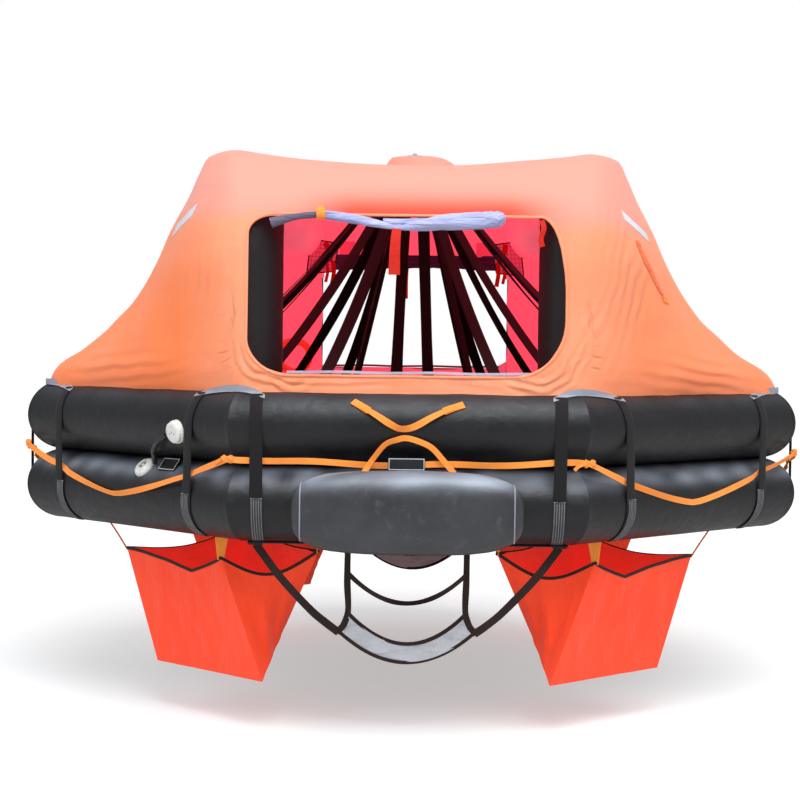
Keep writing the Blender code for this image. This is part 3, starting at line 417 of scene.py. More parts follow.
# Joins skins into one mesh object that rides on a body and stands for CAD nodes.
def addPiece(name, skins, materials, nodes="", body="raft", crease=42.0):
    faces, count = [], 0
    for part in skins:
        faces += [[v + count for v in face] for face in part["faces"]]
        count += len(part["points"])
    slots = np.concatenate([np.broadcast_to(part["slot"], len(part["faces"])) for part in skins])
    uv = np.concatenate([part["uv"] for part in skins])
    mesh = bpy.data.meshes.new(name)
    mesh.from_pydata(np.concatenate([part["points"] for part in skins]), [], faces)
    mesh.uv_layers.new(name="UVMap").data.foreach_set("uv", uv.astype(np.float32).ravel())
    for material in materials.split():
        mesh.materials.append(mats[material])
    mesh.polygons.foreach_set("material_index", slots.astype(np.int32))
    mesh.shade_smooth()
    mesh.set_sharp_from_angle(angle=math.radians(crease))
    mesh.update()
    made = bpy.data.objects.new(name, mesh)
    bpy.context.scene.collection.objects.link(made)
    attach(made, body)
    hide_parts(*nodes.split())
    return made


# Skins mirrored by the signs of x and y. A face that this turns over has its corners reversed.
def mirrored(parts, x, y):
    made = []
    for part in parts:
        copy = {**part, "points": part["points"] * [x, y, 1]}
        if x * y < 0:
            copy["faces"] = [face[::-1] for face in part["faces"]]
            lengths = [len(face) for face in part["faces"]]
            ends = np.cumsum(lengths)
            order = [np.arange(end - 1, end - length - 1, -1) for length, end in zip(lengths, ends)]
            copy["uv"] = part["uv"][np.concatenate(order)]
        made.append(copy)
    return made


# A piece at the front and its mirror image at the rear, with each end's name put in for {}.
def bothEnds(name, skins, materials, nodes="", body="raft", crease=42.0):
    made = []
    for end, parts in (("front", skins), ("rear", mirrored(skins, 1, -1))):
        places = nodes.format(end), body.format(end)
        made.append(addPiece(name.format(end.capitalize()), parts, materials, *places, crease))
    return made


# A mesh's points, as rows.
def pointsOf(mesh):
    points = np.empty(len(mesh.vertices) * 3, np.float32)
    mesh.vertices.foreach_get("co", points)
    return points.reshape(-1, 3).astype(float)


# Gives each point a share of 0 to 1 for a material to read.
def markPoints(mesh, name, share):
    made = mesh.attributes.new(name, "FLOAT", "POINT")
    made.data.foreach_set("value", np.clip(share, 0, 1).astype(np.float32))


# Directions out of a route's face and across it, each square to the other and to the route.
def framed(route, facing, loop=False):
    way = unit(np.roll(route, -1, 0) - np.roll(route, 1, 0) if loop else np.gradient(route, axis=0))
    facing = np.broadcast_to(np.asarray(facing, float), route.shape)
    facing = unit(facing - way * (facing * way).sum(axis=1, keepdims=True))
    return facing, np.cross(way, facing)


# Unit circles in the planes of two directions: first * cos(turn) + second * sin(turn).
def ringed(first, second, turn):
    return first[:, None] * np.cos(turn)[:, None] + second[:, None] * np.sin(turn)[:, None]


# A strap along a route: a flat section with rounded edges, its wide side turned to facing.
def strap(route, facing, wide, thick, loop=False, slot=0, crown=0.0):
    route = np.asarray(route, float)
    wide = np.broadcast_to(wide, len(route))[:, None, None] / 2
    face, beside = framed(route, facing, loop)
    across = np.array([-1, -0.94, -0.5, 0, 0.5, 0.94, 1, 0.94, 0.5, 0, -0.5, -0.94])
    height = np.array([0, 1, 1, 1, 1, 1, 0, -1, -1, -1, -1, -1]) * thick / 2 + crown * (1 - across ** 2)
    return skin(route[:, None] + beside[:, None] * wide * across[:, None] + face[:, None] * height[:, None],
                loop, slot)


# A round bar along a route: circles set square to it.
def bar(route, radius, facing=(0, 0, 1), sides=16, loop=False, slot=0):
    route = np.asarray(route, float)
    face, beside = framed(route, facing, loop)
    return skin(route[:, None] + np.reshape(radius, (-1, 1, 1)) * ringed(beside, face, circle(sides)), loop,
                slot)


# A turned piece: its profile of radius and height is spun round an axis.
def turnedSkin(profile, centre, axis, sides=48, slot=0):
    profile, axis = np.asarray(profile, float), unit(np.asarray(axis, float))
    side = unit(np.cross(axis, np.array([0, 0, 1.0]) if abs(axis[2]) < 0.9 else np.array([1.0, 0, 0])))
    ring = ringed(side[None], np.cross(axis, side)[None], circle(sides))
    return skin(np.asarray(centre) + profile[:, :1, None] * ring + profile[:, 1:, None] * axis, slot=slot)


# A point by a side of the octagon: side 0 faces +X and side 6 the front.
def bySide(side, along, out, height):
    turn = math.radians(45.0 * side)
    c, s = math.cos(turn), math.sin(turn)
    return spots(out * c - along * s, out * s + along * c, height)


# A point on a ring tube's skin, the angle in degrees above the level, lifted off it.
def onTube(side, along, centreZ, angle, lift=0.0):
    turn = np.radians(angle)
    radius = tube["radius"] + lift
    return bySide(side, along, tube["apothem"] + radius * np.cos(turn), centreZ + radius * np.sin(turn))


# The way out of a ring tube's skin, at an angle above the level.
def outward(side, angle):
    return bySide(side, 0.0, np.cos(np.radians(angle)), np.sin(np.radians(angle)))


print("raft: buoyancy tubes")
tubeLook = {"stations": 56, "round": 72, "pucker": 0.0022, "puckerReach": 0.10, "wave": 0.0009,
            "tape": 0.0008, "tapeWide": 0.014}


# An octagonal ring of tube: each side is a straight cylinder cut off at the mitre planes, where
# the distance along grows with the distance out. Puckers gather by each mitre.
def tubeSkin(centreZ, seed):
    share = np.sin(np.linspace(-0.5, 0.5, tubeLook["stations"], endpoint=False) * np.pi)[:, None]
    turn = circle(tubeLook["round"])[None]
    out = tube["apothem"] + tube["radius"] * np.cos(turn)
    gap = (1 - np.abs(share)) * out * halfTurn
    rows = []
    for side in range(8):
        spot = bySide(side, share * out * halfTurn, out, centreZ + tube["radius"] * np.sin(turn))
        folds = np.sin(turn * 26 + 3 * ripple(spot, 0.2, seed + 5))
        folds = np.abs(folds * (0.6 + 0.4 * ripple(spot, 0.12, seed + 9)))
        grow = -tubeLook["pucker"] * bell(gap, 0, tubeLook["puckerReach"]) * folds * fade(gap, 0, 0.02)
        grow = grow - tubeLook["wave"] * (0.5 + 0.5 * ripple(spot, 0.35, seed))
        grow = grow + tubeLook["tape"] * (gap < tubeLook["tapeWide"])
        rows.append(spot + bySide(side, 0.0, np.cos(turn), np.sin(turn)) * grow[..., None])
    return skin(np.concatenate(rows), loop=True)


# Marks where dust lies on a piece and a painted highlight falls on it, as an attribute on its
# points: a bell curve of their height about a middle, with patches rubbed thin.
def settleDust(piece, middle, spread, most, seed):
    points = pointsOf(piece.data)
    share = most * bell(points[:, 2], middle, spread) * (0.75 + 0.45 * ripple(points, 0.16, seed))
    markPoints(piece.data, "dustAndHighlight", share * fade(np.hypot(points[:, 0], points[:, 1]), 1.45, 0.1))


# dust and a painted highlight along the lower tube's top, and faintly on the upper tube
for level, seed, middle, spread, most in (("lower", 11, 0.214, 0.036, 0.85),
                                          ("upper", 23, 0.520, 0.030, 0.08)):
    tubePiece = addPiece(level + "TubeSkin", [tubeSkin(tube[level + "Z"], seed)], "hull", level + "_tube",
                         crease=30)
    settleDust(tubePiece, middle, spread, most, 15 if level == "lower" else 17)

print("raft: arches and floor")


# An arch tube: up a leg, round a bend, level, and down again. Its bends crease on the inside.
def archSkin(x, seed):
    top, bend, legY = arch["topZ"], arch["bend"], arch["legY"]
    turn = np.linspace(0, np.pi / 2, 14)
    y = np.concatenate([np.full(24, -legY), -legY + bend * (1 - np.cos(turn)),
                        np.linspace(-legY + bend, 0, 30)[1:]])
    z = np.concatenate([np.linspace(tube["upperZ"] + 0.04, top - bend, 24, endpoint=False),
                        top - bend * (1 - np.sin(turn)), np.full(29, top)])
    route = spots(x, np.concatenate([y, -y[-2::-1]]), np.concatenate([z, z[-2::-1]]))
    face, beside = framed(route, (1, 0, 0))
    turn = circle(48)
    ring = ringed(face, beside, turn)
    spot = route[:, None] + ring * arch["radius"]
    crumple = bell(route[:, 2], top - 0.10, 0.12) * (np.abs(route[:, 1]) > 1.1)
    crumple = crumple * np.abs(np.sin(route[:, 2] * 90 + route[:, 1] * 70))
    grow = -0.006 * crumple[:, None] * (0.5 + 0.5 * ripple(spot, 0.08, seed))
    grow = grow - 0.0015 * (0.5 + 0.5 * ripple(spot, 0.3, seed + 1))
    grow = grow - 0.002 * (np.abs(np.sin(turn * 1.5)) < 0.05)
    return skin(spot + ring * grow[..., None])


# The lining's sleeve round an arch's level run and rear bend: a thin pipe of cloth. It lies close
# on the arch at its top, where the canopy presses on it.
def sleeveSkin(x, seed):
    level = arch["legY"] - arch["bend"]
    bend = np.linspace(0, np.pi / 2, 14)[1:]
    y = np.concatenate([np.linspace(-level, level, 50), level + arch["bend"] * np.sin(bend)])
    drop = np.concatenate([np.zeros(50), arch["bend"] * (1 - np.cos(bend))])
    route = spots(x, y, arch["topZ"] - drop)
    face, beside = framed(route, (1, 0, 0))
    ring = ringed(face, beside, circle(56))
    room = fade(ring[..., 2:], 0.80, -0.25)
    grids = []
    for lift in (0.0040, 0.0022):
        spot = route[:, None] + ring * (arch["radius"] + lift * (0.2 + 0.8 * room))
        grids.append(spot + ring * (0.0012 * ripple(spot * [1, 0.4, 1], 0.08, seed))[..., None] * room)
    return pipeSkin(*grids)


for name, sign, seed in (("Left", -1, 31), ("Right", 1, 37)):
    addPiece("archTube" + name, [archSkin(sign * arch["x"], seed)], "archHull", "arch_" + name.lower())
    addPiece("archSleeve" + name, [sleeveSkin(sign * arch["x"], seed + 2)], "innerCloth")

# The floor: one sheet of the hull's cloth, stretched between the lower tube's sides. Each ring
# of points is an octagon drawn in towards the middle.
floorReach = np.array([1.505, 1.40, 1.2, 1.0, 0.8, 0.6, 0.4, 0.2, 0.02, 0.0008])
octagon = np.concatenate([bySide(k, np.linspace(-1, 1, 16, endpoint=False) * halfTurn, 1.0, 0.0)
                          for k in range(8)])
floorTop = octagon[None] * floorReach[:, None, None]
floorTop[..., 2] = -0.0295 - 0.0008 * (1 + ripple(floorTop, 0.3, 41))
floorSheet = addPiece("floorSheet", [pipeSkin(floorTop, floorTop - [0, 0, 0.0035])], "hull", "floor",
                      crease=60)

print("raft: canopy")
# each row: height, front corner x, half width, side corner y, half depth, bulge, sag
stations = np.array([
    (0.530, 0.6684, 1.6137, 0.6684, 1.6137, 0.0, 0.0), (0.615, 0.668, 1.565, 0.700, 1.612, 0.2, 0.0),
    (0.700, 0.665, 1.437, 0.760, 1.606, 0.4, 0.0), (0.800, 0.662, 1.302, 0.840, 1.600, 0.6, 0.0),
    (0.914, 0.664, 1.180, 0.940, 1.595, 0.8, 0.0), (1.070, 0.668, 1.069, 1.080, 1.590, 1.0, 0.0),
    (1.200, 0.670, 0.994, 1.180, 1.575, 1.0, 0.0), (1.320, 0.672, 0.920, 1.230, 1.530, 1.0, 0.1),
    (1.420, 0.675, 0.878, 1.200, 1.445, 1.0, 0.5), (1.498, 0.690, 0.845, 1.140, 1.335, 1.0, 0.9),
    (1.524, 0.690, 0.780, 1.060, 1.210, 1.0, 1.0)])
canopyShape = {"thick": 0.004, "topZ": 1.522, "topSag": 0.057, "span": 0.74, "hump": 0.160, "humpIn": 0.10,
               "humpOut": 0.29, "humpLean": 0.085, "rowSteps": 8, "columns": 320, "frontEnd": 0.34,
               "sideStart": 0.70}


# How far the canopy sags between its arches: a parabola across the raft.
def slackBetween(x):
    return canopyShape["topSag"] * np.maximum(0, 1 - (x / canopyShape["span"]) ** 2)


# The canopy's top: slack between the arches, and a hump over the lifting head that leans right.
def topHeight(x, y):
    far = np.hypot(x, y)
    foot = canopyShape["humpOut"] + canopyShape["humpLean"] * x / np.maximum(far, 1e-6)
    reach = fade(far, canopyShape["humpIn"], foot - canopyShape["humpIn"])
    return canopyShape["topZ"] - slackBetween(x) + canopyShape["hump"] * (0.5 + 0.5 * np.cos(np.pi * reach))


# A wall ring of the canopy, by quarter: straight across the front, a quadratic curve round the
# corner, straight along the side. place runs from 0 to 4 round it, from the middle of the front.
def canopyRing(rows, place):
    z, frontX, wide, sideY, deep, bulge, sag = (rows[:, k, None] for k in range(7))
    frontEnd, sideStart = canopyShape["frontEnd"], canopyShape["sideStart"]
    quarter = np.floor(place).astype(int) % 4
    q = np.where(quarter % 2 == 0, place - np.floor(place), 1 - (place - np.floor(place)))[None]
    signX, signY = np.where(quarter < 2, 1, -1)[None], np.where((quarter == 0) | (quarter == 3), -1, 1)[None]
    t = fade(q, frontEnd, sideStart - frontEnd)
    midX, midY = (frontX + wide) / 2, (deep + sideY) / 2
    pullX = midX + ((frontX + 0.55 * (wide - frontX)) - midX) * bulge
    pullY = midY + (deep - midY) * bulge
    x = (1 - t) ** 2 * frontX + 2 * t * (1 - t) * pullX + t ** 2 * wide
    y = (1 - t) ** 2 * deep + 2 * t * (1 - t) * pullY + t ** 2 * sideY
    x = np.where(q < frontEnd, frontX * q / frontEnd, x)
    y = np.where(q > sideStart, sideY * (1 - q) / (1 - sideStart), y)
    return spots(x * signX, y * signY, z - sag * slackBetween(x))


wallRows = smoothRows(stations, canopyShape["rowSteps"])
wallRows[:, 5:] = np.clip(wallRows[:, 5:], 0, 1)
wall = canopyRing(wallRows, np.linspace(0, 4, canopyShape["columns"], endpoint=False))
# the top is drawn in from the wall's edge to rings round the middle: their radius and their share
lids = smoothRows([(0.70, 0.0), (0.60, 0.5), (0.48, 1.0), (0.36, 1.0), (0.25, 1.0), (0.16, 1.0),
                   (0.095, 1.0)], 5)[1:]
edge = wall[-1]
drawn = np.clip(lids[:, 1], 0, 1)[:, None, None]
lid = edge + (unit(edge * [1, 1, 0]) * lids[:, 0, None, None] - edge) * drawn
lid[..., 2] = topHeight(lid[..., 0], lid[..., 1])
canopyGrid = np.concatenate([wall, lid])


# The canopy's broad folds, as a push along its normal: slack waves all over, which only rise
# over the arches, gathers above the hem, and heavier folds on the flanks. Finer pleats are in
# its material.
def creased(grid):
    x, z = grid[..., 0], grid[..., 2]
    over = fade(z, 1.34, 0.08)
    push = 0.0030 * ripple(grid * [1, 1, 0.6], 0.34, 51) * (1 - 0.5 * over) + 0.0018 * over
    push = push + 0.0022 * bell(z, 0.555, 0.035) * ripple(grid * [1, 1, 0.15], 0.14, 61)
    flank = fade(np.abs(x), 0.84, 0.15) * fade(z, 1.02, -0.2)
    return push + 0.0050 * flank * ripple(grid * [1, 0.35, 1.2], 0.22, 67)


# How much painted shade deepens the canopy's colour: 0 where light falls on it, 1 over the lower
# flanks, where it is shaded. The right flank is the paler one.
def canopyTone(points):
    flank = fade(np.abs(points[:, 0]), 0.72, 0.22) * fade(points[:, 2], 1.30, -0.30)
    return flank * np.where(points[:, 0] > 0, 0.56, 1.0) * (0.90 + 0.22 * ripple(points, 0.7, 69))


# How much painted light pales it: 1 over the arches and the band above the doorway, where the sky lights it.
def canopyBleach(points):
    low = 1.185 + 0.02 * ripple(points * [1, 1, 0], 0.4, 75) - 0.03 * (points[:, 0] > 0)
    return fade(points[:, 2], low, 0.07) * fade(np.abs(points[:, 0]), 0.99, -0.08)


# Where a painted glow turns the cloth over the doorway red, as the lit lining behind it shows through: a
# soft-edged band.
def canopyBlush(points):
    x, y, z = points[:, 0], np.abs(points[:, 1]), points[:, 2]
    beyondZ, beyondX = np.maximum(np.abs(z - 1.225) - 0.018, 0), np.maximum(np.abs(x - 0.08) - 0.28, 0)
    return bell(beyondZ, 0, 0.068) * bell(beyondX, 0, 0.17) * fade(y, 1.4, 0.1)


# Unit normals of a grid from its differences along and round it.
def gridNormal(grid):
    along, across = np.gradient(grid, axis=0), (np.roll(grid, -1, 1) - np.roll(grid, 1, 1)) / 2
    return unit(np.cross(across, along))


canopyNormal = gridNormal(canopyGrid)
canopyGrid = canopyGrid + canopyNormal * creased(canopyGrid)[..., None]
canopySides = pipeSkin(canopyGrid, canopyGrid - canopyNormal * canopyShape["thick"], 1)
canopy = addPiece("canopySkin", [canopySides], "canopyCloth innerCloth", "canopy", crease=70)


# The doorway's outline: four quarter ellipses round a box, from its top right corner, as the
# slack cloth lets each corner open in its own way.
def doorLine(grow=0.0, steps=14):
    turn = np.radians(np.linspace(0, 90, steps))
    parts = []
    for k, (x, z) in enumerate(((1, 1), (-1, 1), (-1, -1), (1, -1))):
        wide, tall = (size + grow for size in door["corners"][k])
        edgeX = door["shift"] + x * (door["half"] + grow)
        edgeZ = door["top" if z > 0 else "bottom"] + z * grow
        angle = turn + k * np.pi / 2
        curve = (edgeX - x * wide + wide * np.cos(angle), edgeZ - z * tall + tall * np.sin(angle))
        parts.append(np.stack(curve, axis=1))
    return np.concatenate(parts)


line = doorLine()
cutterGrid = np.stack([spots(line[:, 0], y, line[:, 1]) for y in (-2.0, 2.0)])
cutter = addPiece("doorwayCutter", [skin(cutterGrid)], "innerCloth")
cutDoor = canopy.modifiers.new("doorways", "BOOLEAN")
cutDoor.object = cutter
cutDoor.solver = "EXACT"
bpy.context.view_layer.update()
cutMesh = bpy.data.meshes.new_from_object(canopy.evaluated_get(bpy.context.evaluated_depsgraph_get()))
canopy.modifiers.clear()
canopy.data = cutMesh
cutMesh.set_sharp_from_angle(angle=math.radians(70))
for name, shareOf in (("tone", canopyTone), ("bleach", canopyBleach), ("blush", canopyBlush)):
    markPoints(cutMesh, name, shareOf(pointsOf(cutMesh)))
bpy.data.objects.remove(cutter, do_unlink=True)


# Where the canopy's front is at a height, read off its wall's rows.
def frontY(z):
    return -np.interp(z, wallRows[:, 0], wallRows[:, 4])


print("raft: doorway hems and curtains")
hemLine = doorLine(0.0055, 18)
hemRoute = spots(hemLine[:, 0], frontY(hemLine[:, 1]) - 0.001, hemLine[:, 1])
hemRoute = hemRoute + 0.0012 * ripple(hemRoute, 0.12, 71)[:, None]
hemRadius = 0.0042 + 0.0008 * ripple(hemRoute, 0.07, 73)[:, None, None]
hemOut, hemSide = framed(hemRoute, (0, -1, 0), True)
hemGrid = hemRoute[:, None] + hemRadius * ringed(hemSide * 1.5, hemOut, circle(12))
bothEnds("doorwayHem{}", [skin(hemGrid, loop=True)], "canopyCloth")
sillX = np.linspace(-0.48, 0.48, 60)
sillRoute = spots(sillX, -1.596, door["bottom"] + 0.008 + 0.0015 * np.sin(sillX * 17))
bothEnds("curtainSill{}", [strap(sillRoute, (0, -1, 0.3), 0.012, 0.0025)], "sillCloth")
# the curtain's unrolled head, which hangs inside the rear doorway: the curtain's cloth darkened as painted
# shade, as it is lit from behind
headX, headDown = np.meshgrid(np.linspace(-0.585, 0.585, 80), np.linspace(0, 1, 8))
headFoot = 1.168 + 0.008 * np.sin(headX * 7 + 1) + 0.003 * np.sin(headX * 31)
headZ = 1.245 + (headFoot - 1.245) * headDown
headGrid = spots(headX, -frontY(headZ) - 0.015 + 0.003 * np.sin(headX * 23 + headDown * 2), headZ)
curtainHead = addPiece("curtainHeadRear", [sheetSkin(headGrid, headGrid + [0, 0.0015, 0])], "headCloth")
loopRoute = smoothRows([(0.508, -1.586, 1.222), (0.516, -1.592, 1.190), (0.505, -1.594, 1.150),
                        (0.512, -1.590, 1.118)], 6)
bothEnds("curtainLoop{}", [strap(loopRoute, (0.3, -1, 0), 0.022, 0.0018)], "tagCloth")

# The rolled curtain: a thin roll on the left and a thick one on the right that both taper to the
# point where they sag lowest, with a web of slack cloth between them. Rows: x, height, radius.
curtainLook = {"rows": 70, "round": 48, "y": -1.5976, "most": 0.0345, "tieX": -0.3515, "tieZ": 1.2370,
               "tieRadius": 0.0225}
leftRoll = [(-0.366, 1.2372, 0.0150), (-0.350, 1.2366, 0.0168), (-0.300, 1.2290, 0.0182),
            (-0.214, 1.2158, 0.0190), (-0.160, 1.2050, 0.0172), (-0.104, 1.1942, 0.0130),
            (-0.066, 1.1868, 0.0072), (-0.046, 1.1834, 0.0020)]
rightRoll = [(-0.050, 1.1826, 0.0020), (-0.030, 1.1866, 0.0100), (0.010, 1.1940, 0.0170),
             (0.059, 1.2014, 0.0234), (0.110, 1.2068, 0.0290), (0.168, 1.2110, 0.0322),
             (0.277, 1.2178, 0.0338), (0.325, 1.2235, 0.0325), (0.352, 1.2250, 0.0260),
             (0.366, 1.2250, 0.0120)]


# A roll: a round bar whose radius is uneven, crumpled at its right end, with a loose edge along it.
def rollSkin(rows, seed):
    path = smoothRows(rows, 20)
    path = path[np.linspace(0, len(path) - 1, curtainLook["rows"]).astype(int)]
    x, size = path[:, :1], path[:, 2:]
    route = spots(path[:, 0], curtainLook["y"], path[:, 1])
    face, beside = framed(route, (0, 0, 1))
    turn = circle(curtainLook["round"])
    ring = ringed(beside, face, turn)
    spot = route[:, None] + ring * size[..., None]
    crumple = 0.10 * fade(x, 0.22, 0.1) * ripple(spot, 0.022, seed + 1)
    grow = size * (1 + 0.05 * (ripple(spot * [0.35, 1, 1], 0.03, seed) + np.sin(turn * 3 + x * 18)) + crumple)
    grow = grow + 0.003 * bell(turn, 4.4 + 0.5 * np.sin(x * 9), 0.22)
    return skin(route[:, None] + ring * np.minimum(grow, curtainLook["most"])[..., None])


webX, webDown = np.meshgrid(np.linspace(-0.110, 0.085, 30), np.linspace(0, 1, 10))
webTop = 1.2230 + 0.002 * np.sin(webX * 30)
webDepth = curtainLook["y"] + 0.004 + 0.002 * np.sin(webX * 60 + webDown * 5)
webGrid = spots(webX, webDepth, webTop + (1.188 - webTop) * webDown)
roll = [rollSkin(leftRoll, 81), rollSkin(rightRoll, 85), sheetSkin(webGrid, webGrid + [0, 0.0015, 0])]
bothEnds("curtainRoll{}", roll, "curtainCloth", "curtain_roll_{}")
tieWays = spots(0.0, np.cos(circle(28)), np.sin(circle(28)))
tieMiddle = np.array([curtainLook["tieX"], curtainLook["y"], curtainLook["tieZ"]])
tieRoute = tieMiddle + tieWays * curtainLook["tieRadius"]
topTie = smoothRows([(-0.3515, -1.615, 1.250), (-0.3525, -1.598, 1.262), (-0.354, -1.572, 1.270)], 5)
bothEnds("curtainTies{}", [strap(tieRoute, tieWays, 0.034, 0.0015, loop=True),
                           strap(topTie, (0, -0.5, 1), 0.020, 0.0015)], "orangeWebbing")
hang = smoothRows([(-0.056, -1.604, 1.180), (-0.060, -1.618, 1.14), (-0.063, -1.620, 1.08),
                   (-0.064, -1.616, 1.002)], 6)
bothEnds("curtainTag{}", [strap(hang, (0.15, -1, 0), np.linspace(0.036, 0.046, len(hang)), 0.0018)],
         "tagCloth")
# the roll's far end, which lies in the shade beyond the tie: the curtain's cloth darkened as painted shade
shadeX = np.linspace(-0.548, -0.362, 36)
shadeFar = fade(shadeX, -0.362, -0.186)
shadeRadius = 0.0125 + 0.010 * shadeFar ** 3 + 0.001 * np.sin(shadeX * 60)
bothEnds("curtainRollEnd{}", [bar(spots(shadeX, -1.588, 1.2330 - 0.034 * shadeFar ** 2), shadeRadius)],
         "shadedCloth")

print("raft: boarding ramps")
rampLook = {"half": np.array((0.445, 0.115, 0.160)), "centre": (0, -1.785, 0.090), "power": 3.5, "rows": 110,
            "round": 96, "seamX": 0.405, "seamRadius": 0.0028, "seamSink": 0.002}


# A boarding ramp: a pillow whose reach in each direction is that of a superellipsoid, with
# slack dents over its face.
def rampSkin():
    half, power = rampLook["half"], rampLook["power"]
    tall = np.sin(np.linspace(-0.499, 0.499, rampLook["rows"]) * np.pi)[:, None] * (np.pi / 2)
    turn = circle(rampLook["round"])
    way = spots(np.sin(tall), np.cos(tall) * np.cos(turn), np.cos(tall) * np.sin(turn))
    way = way / (np.abs(way) ** power).sum(axis=-1, keepdims=True) ** (1 / power)
    spot = way * half + rampLook["centre"]
    grow = -0.004 * (0.5 + 0.5 * ripple(spot * [0.7, 1, 1], 0.16, 91))
    grow = grow - 0.0012 * (0.5 + 0.5 * ripple(spot, 0.05, 93))
    return skin(spot + unit(way / half) * grow[..., None])


# A seam round the ramp at x: the superellipse that the pillow has there.
def rampSeam(x):
    half, power, centre = rampLook["half"], rampLook["power"], rampLook["centre"]
    c, s = np.cos(circle(120)), np.sin(circle(120))
    room = (1 - (abs(x) / half[0]) ** power) ** (1 / power)
    reach = room / (np.abs(c) ** power + np.abs(s) ** power) ** (1 / power)
    sink = rampLook["seamSink"]
    ring = spots(x, centre[1] + (half[1] * reach - sink) * c, centre[2] + (half[2] * reach - sink) * s)
    return bar(ring, rampLook["seamRadius"], (1, 0, 0), 8, loop=True, slot=1)


ramp = [rampSkin(), rampSeam(-rampLook["seamX"]), rampSeam(rampLook["seamX"])]
# dust and a painted highlight along the ramps' top
for piece in bothEnds("boardingRamp{}Skin", ramp, "rampRubber patchRubber", "boarding_ramp_{}"):
    settleDust(piece, 0.232, 0.038, 0.85, 19)

print("raft: corner straps and patches")
# places along a side, first on the even sides and then on the odd ones
strapLook = {"along": ((0.592, 0.583), (0.466, 0.437)), "patchEnds": (0.560, 0.436), "top": 54, "end": -72,
             "stitchTop": 11, "stitchEnd": -64, "shoulder": 0.866, "wide": 0.050, "thick": 0.0022}


# A corner strap: up on the upper tube, straight down across the gap between the tubes, and
# stuck to the lower tube, where a sewn patch carries it.
def cornerStrap(side, sign):
    top, bottom = strapLook["along"][side % 2]
    upper, lower = np.arange(strapLook["top"], 0, -4.0), np.arange(0, strapLook["end"] - 0.1, -4.0)
    share = np.concatenate([np.linspace(0, 0.35, len(upper)), np.linspace(0.62, 1.0, len(lower))])
    angles = np.concatenate([upper, lower])
    heights = np.repeat([tube["upperZ"], tube["lowerZ"]], [len(upper), len(lower)])
    route = onTube(side, sign * (top + (bottom - top) * share), heights, angles, 0.0022)
    return strap(route, outward(side, angles), strapLook["wide"], strapLook["thick"], crown=0.0004)


# A strip stuck on the lower tube along a strap, between two angles.
def stuckStrip(side, along, offset, inset, lift, wide, thick, slot=0):
    angles = np.linspace(strapLook["stitchTop"] - inset, strapLook["stitchEnd"] + 3 * inset, 18)
    route = onTube(side, np.linspace(1.004, 1.0, 18) * along + offset, tube["lowerZ"], angles, lift)
    return strap(route, outward(side, angles), wide, thick, slot=slot)


# The patch over a corner: a narrow band bent round the mitre. Its ends lie on the tube's
# shoulder by the straps and its middle rises over the canopy's foot.
def topPatch(corner):
    grids = []
    for lift in (0.0065, 0.0010):
        columns = []
        for p in np.linspace(-1, 1, 25):
            side, way = (corner, 1) if p <= 0 else (corner + 1, -1)
            z = np.linspace(0.566 - 0.036 * p * p, 0.540 - 0.024 * p * p, 7)
            up = np.clip((z - tube["upperZ"]) / tube["radius"], -1, strapLook["shoulder"])
            out = tube["apothem"] + (tube["radius"] + lift) * np.sqrt(1 - up ** 2) + lift * 0.2
            half = out * halfTurn
            columns.append(bySide(side, way * (half + (strapLook["patchEnds"][side % 2] - half) * abs(p)),
                                  out, z))
        grids.append(np.stack(columns))
    return sheetSkin(*grids, slot=1)


threads = []
for k in range(8):
    parts = [topPatch(k)]
    for side, sign in ((k, 1), (k + 1, -1)):
        along = sign * strapLook["along"][side % 2][1]
        parts += [cornerStrap(side, sign), stuckStrip(side, along, 0.0, 0, 0.0044, 0.047, 0.0012, 2)]
        threads += [stuckStrip(side, along, offset, 1, 0.0054, 0.0016, 0.0007)
                    for offset in np.linspace(-0.019, 0.019, 5)]
        across = onTube(side, along * 1.004 + np.linspace(-0.024, 0.024, 5), tube["lowerZ"],
                        strapLook["stitchTop"] - 1, 0.0056)
        threads.append(strap(across, outward(side, 10.0), 0.0022, 0.0008))
    addPiece(f"cornerStraps{k + 1}", parts, "blackWebbing patchRubber strapPatch", f"corner_straps_{k + 1}",
             crease=50)
addPiece("cornerStitching", threads, "whiteThread", crease=60)

print("raft: bridle")
bridleLook = {"wide": 0.056, "thick": 0.0028, "headRadius": 0.0663, "headZ": 1.616, "footOut": 1.392,
              "deepSlack": 0.17, "slack": 0.085, "floorSlack": 0.012, "floorHead": 0.033,
              "floorHeadZ": 1.6075, "floorZ": -0.027}


# Where a strap's foot is along its side of the octagon.
def bridleFoot(side, sign):
    byDoor = side % 2 == 1 and (side + sign) % 8 in (2, 6)
    return sign * (0.44 if side % 4 == 2 else 0.33 if byDoor else 0.49)


# A lifting strap: a straight web from the head to its foot, hanging by a sine, and turned over
# part of the way by a twist.
def slungStrap(top, foot, twist, slack):
    t = np.linspace(0, 1, 40)[:, None]
    route = top + (foot - top) * t - np.array([0, 0, slack]) * np.sin(np.pi * t)
    way = unit(foot - top)
    flat = unit(np.cross(way, np.cross([0, 0, 1.0], way)))
    angle = twist * np.sin(np.pi * np.clip(t * 1.1, 0, 1)) ** 2
    return strap(route, flat * np.cos(angle) + np.cross(way, flat) * np.sin(angle), bridleLook["wide"],
                 bridleLook["thick"])


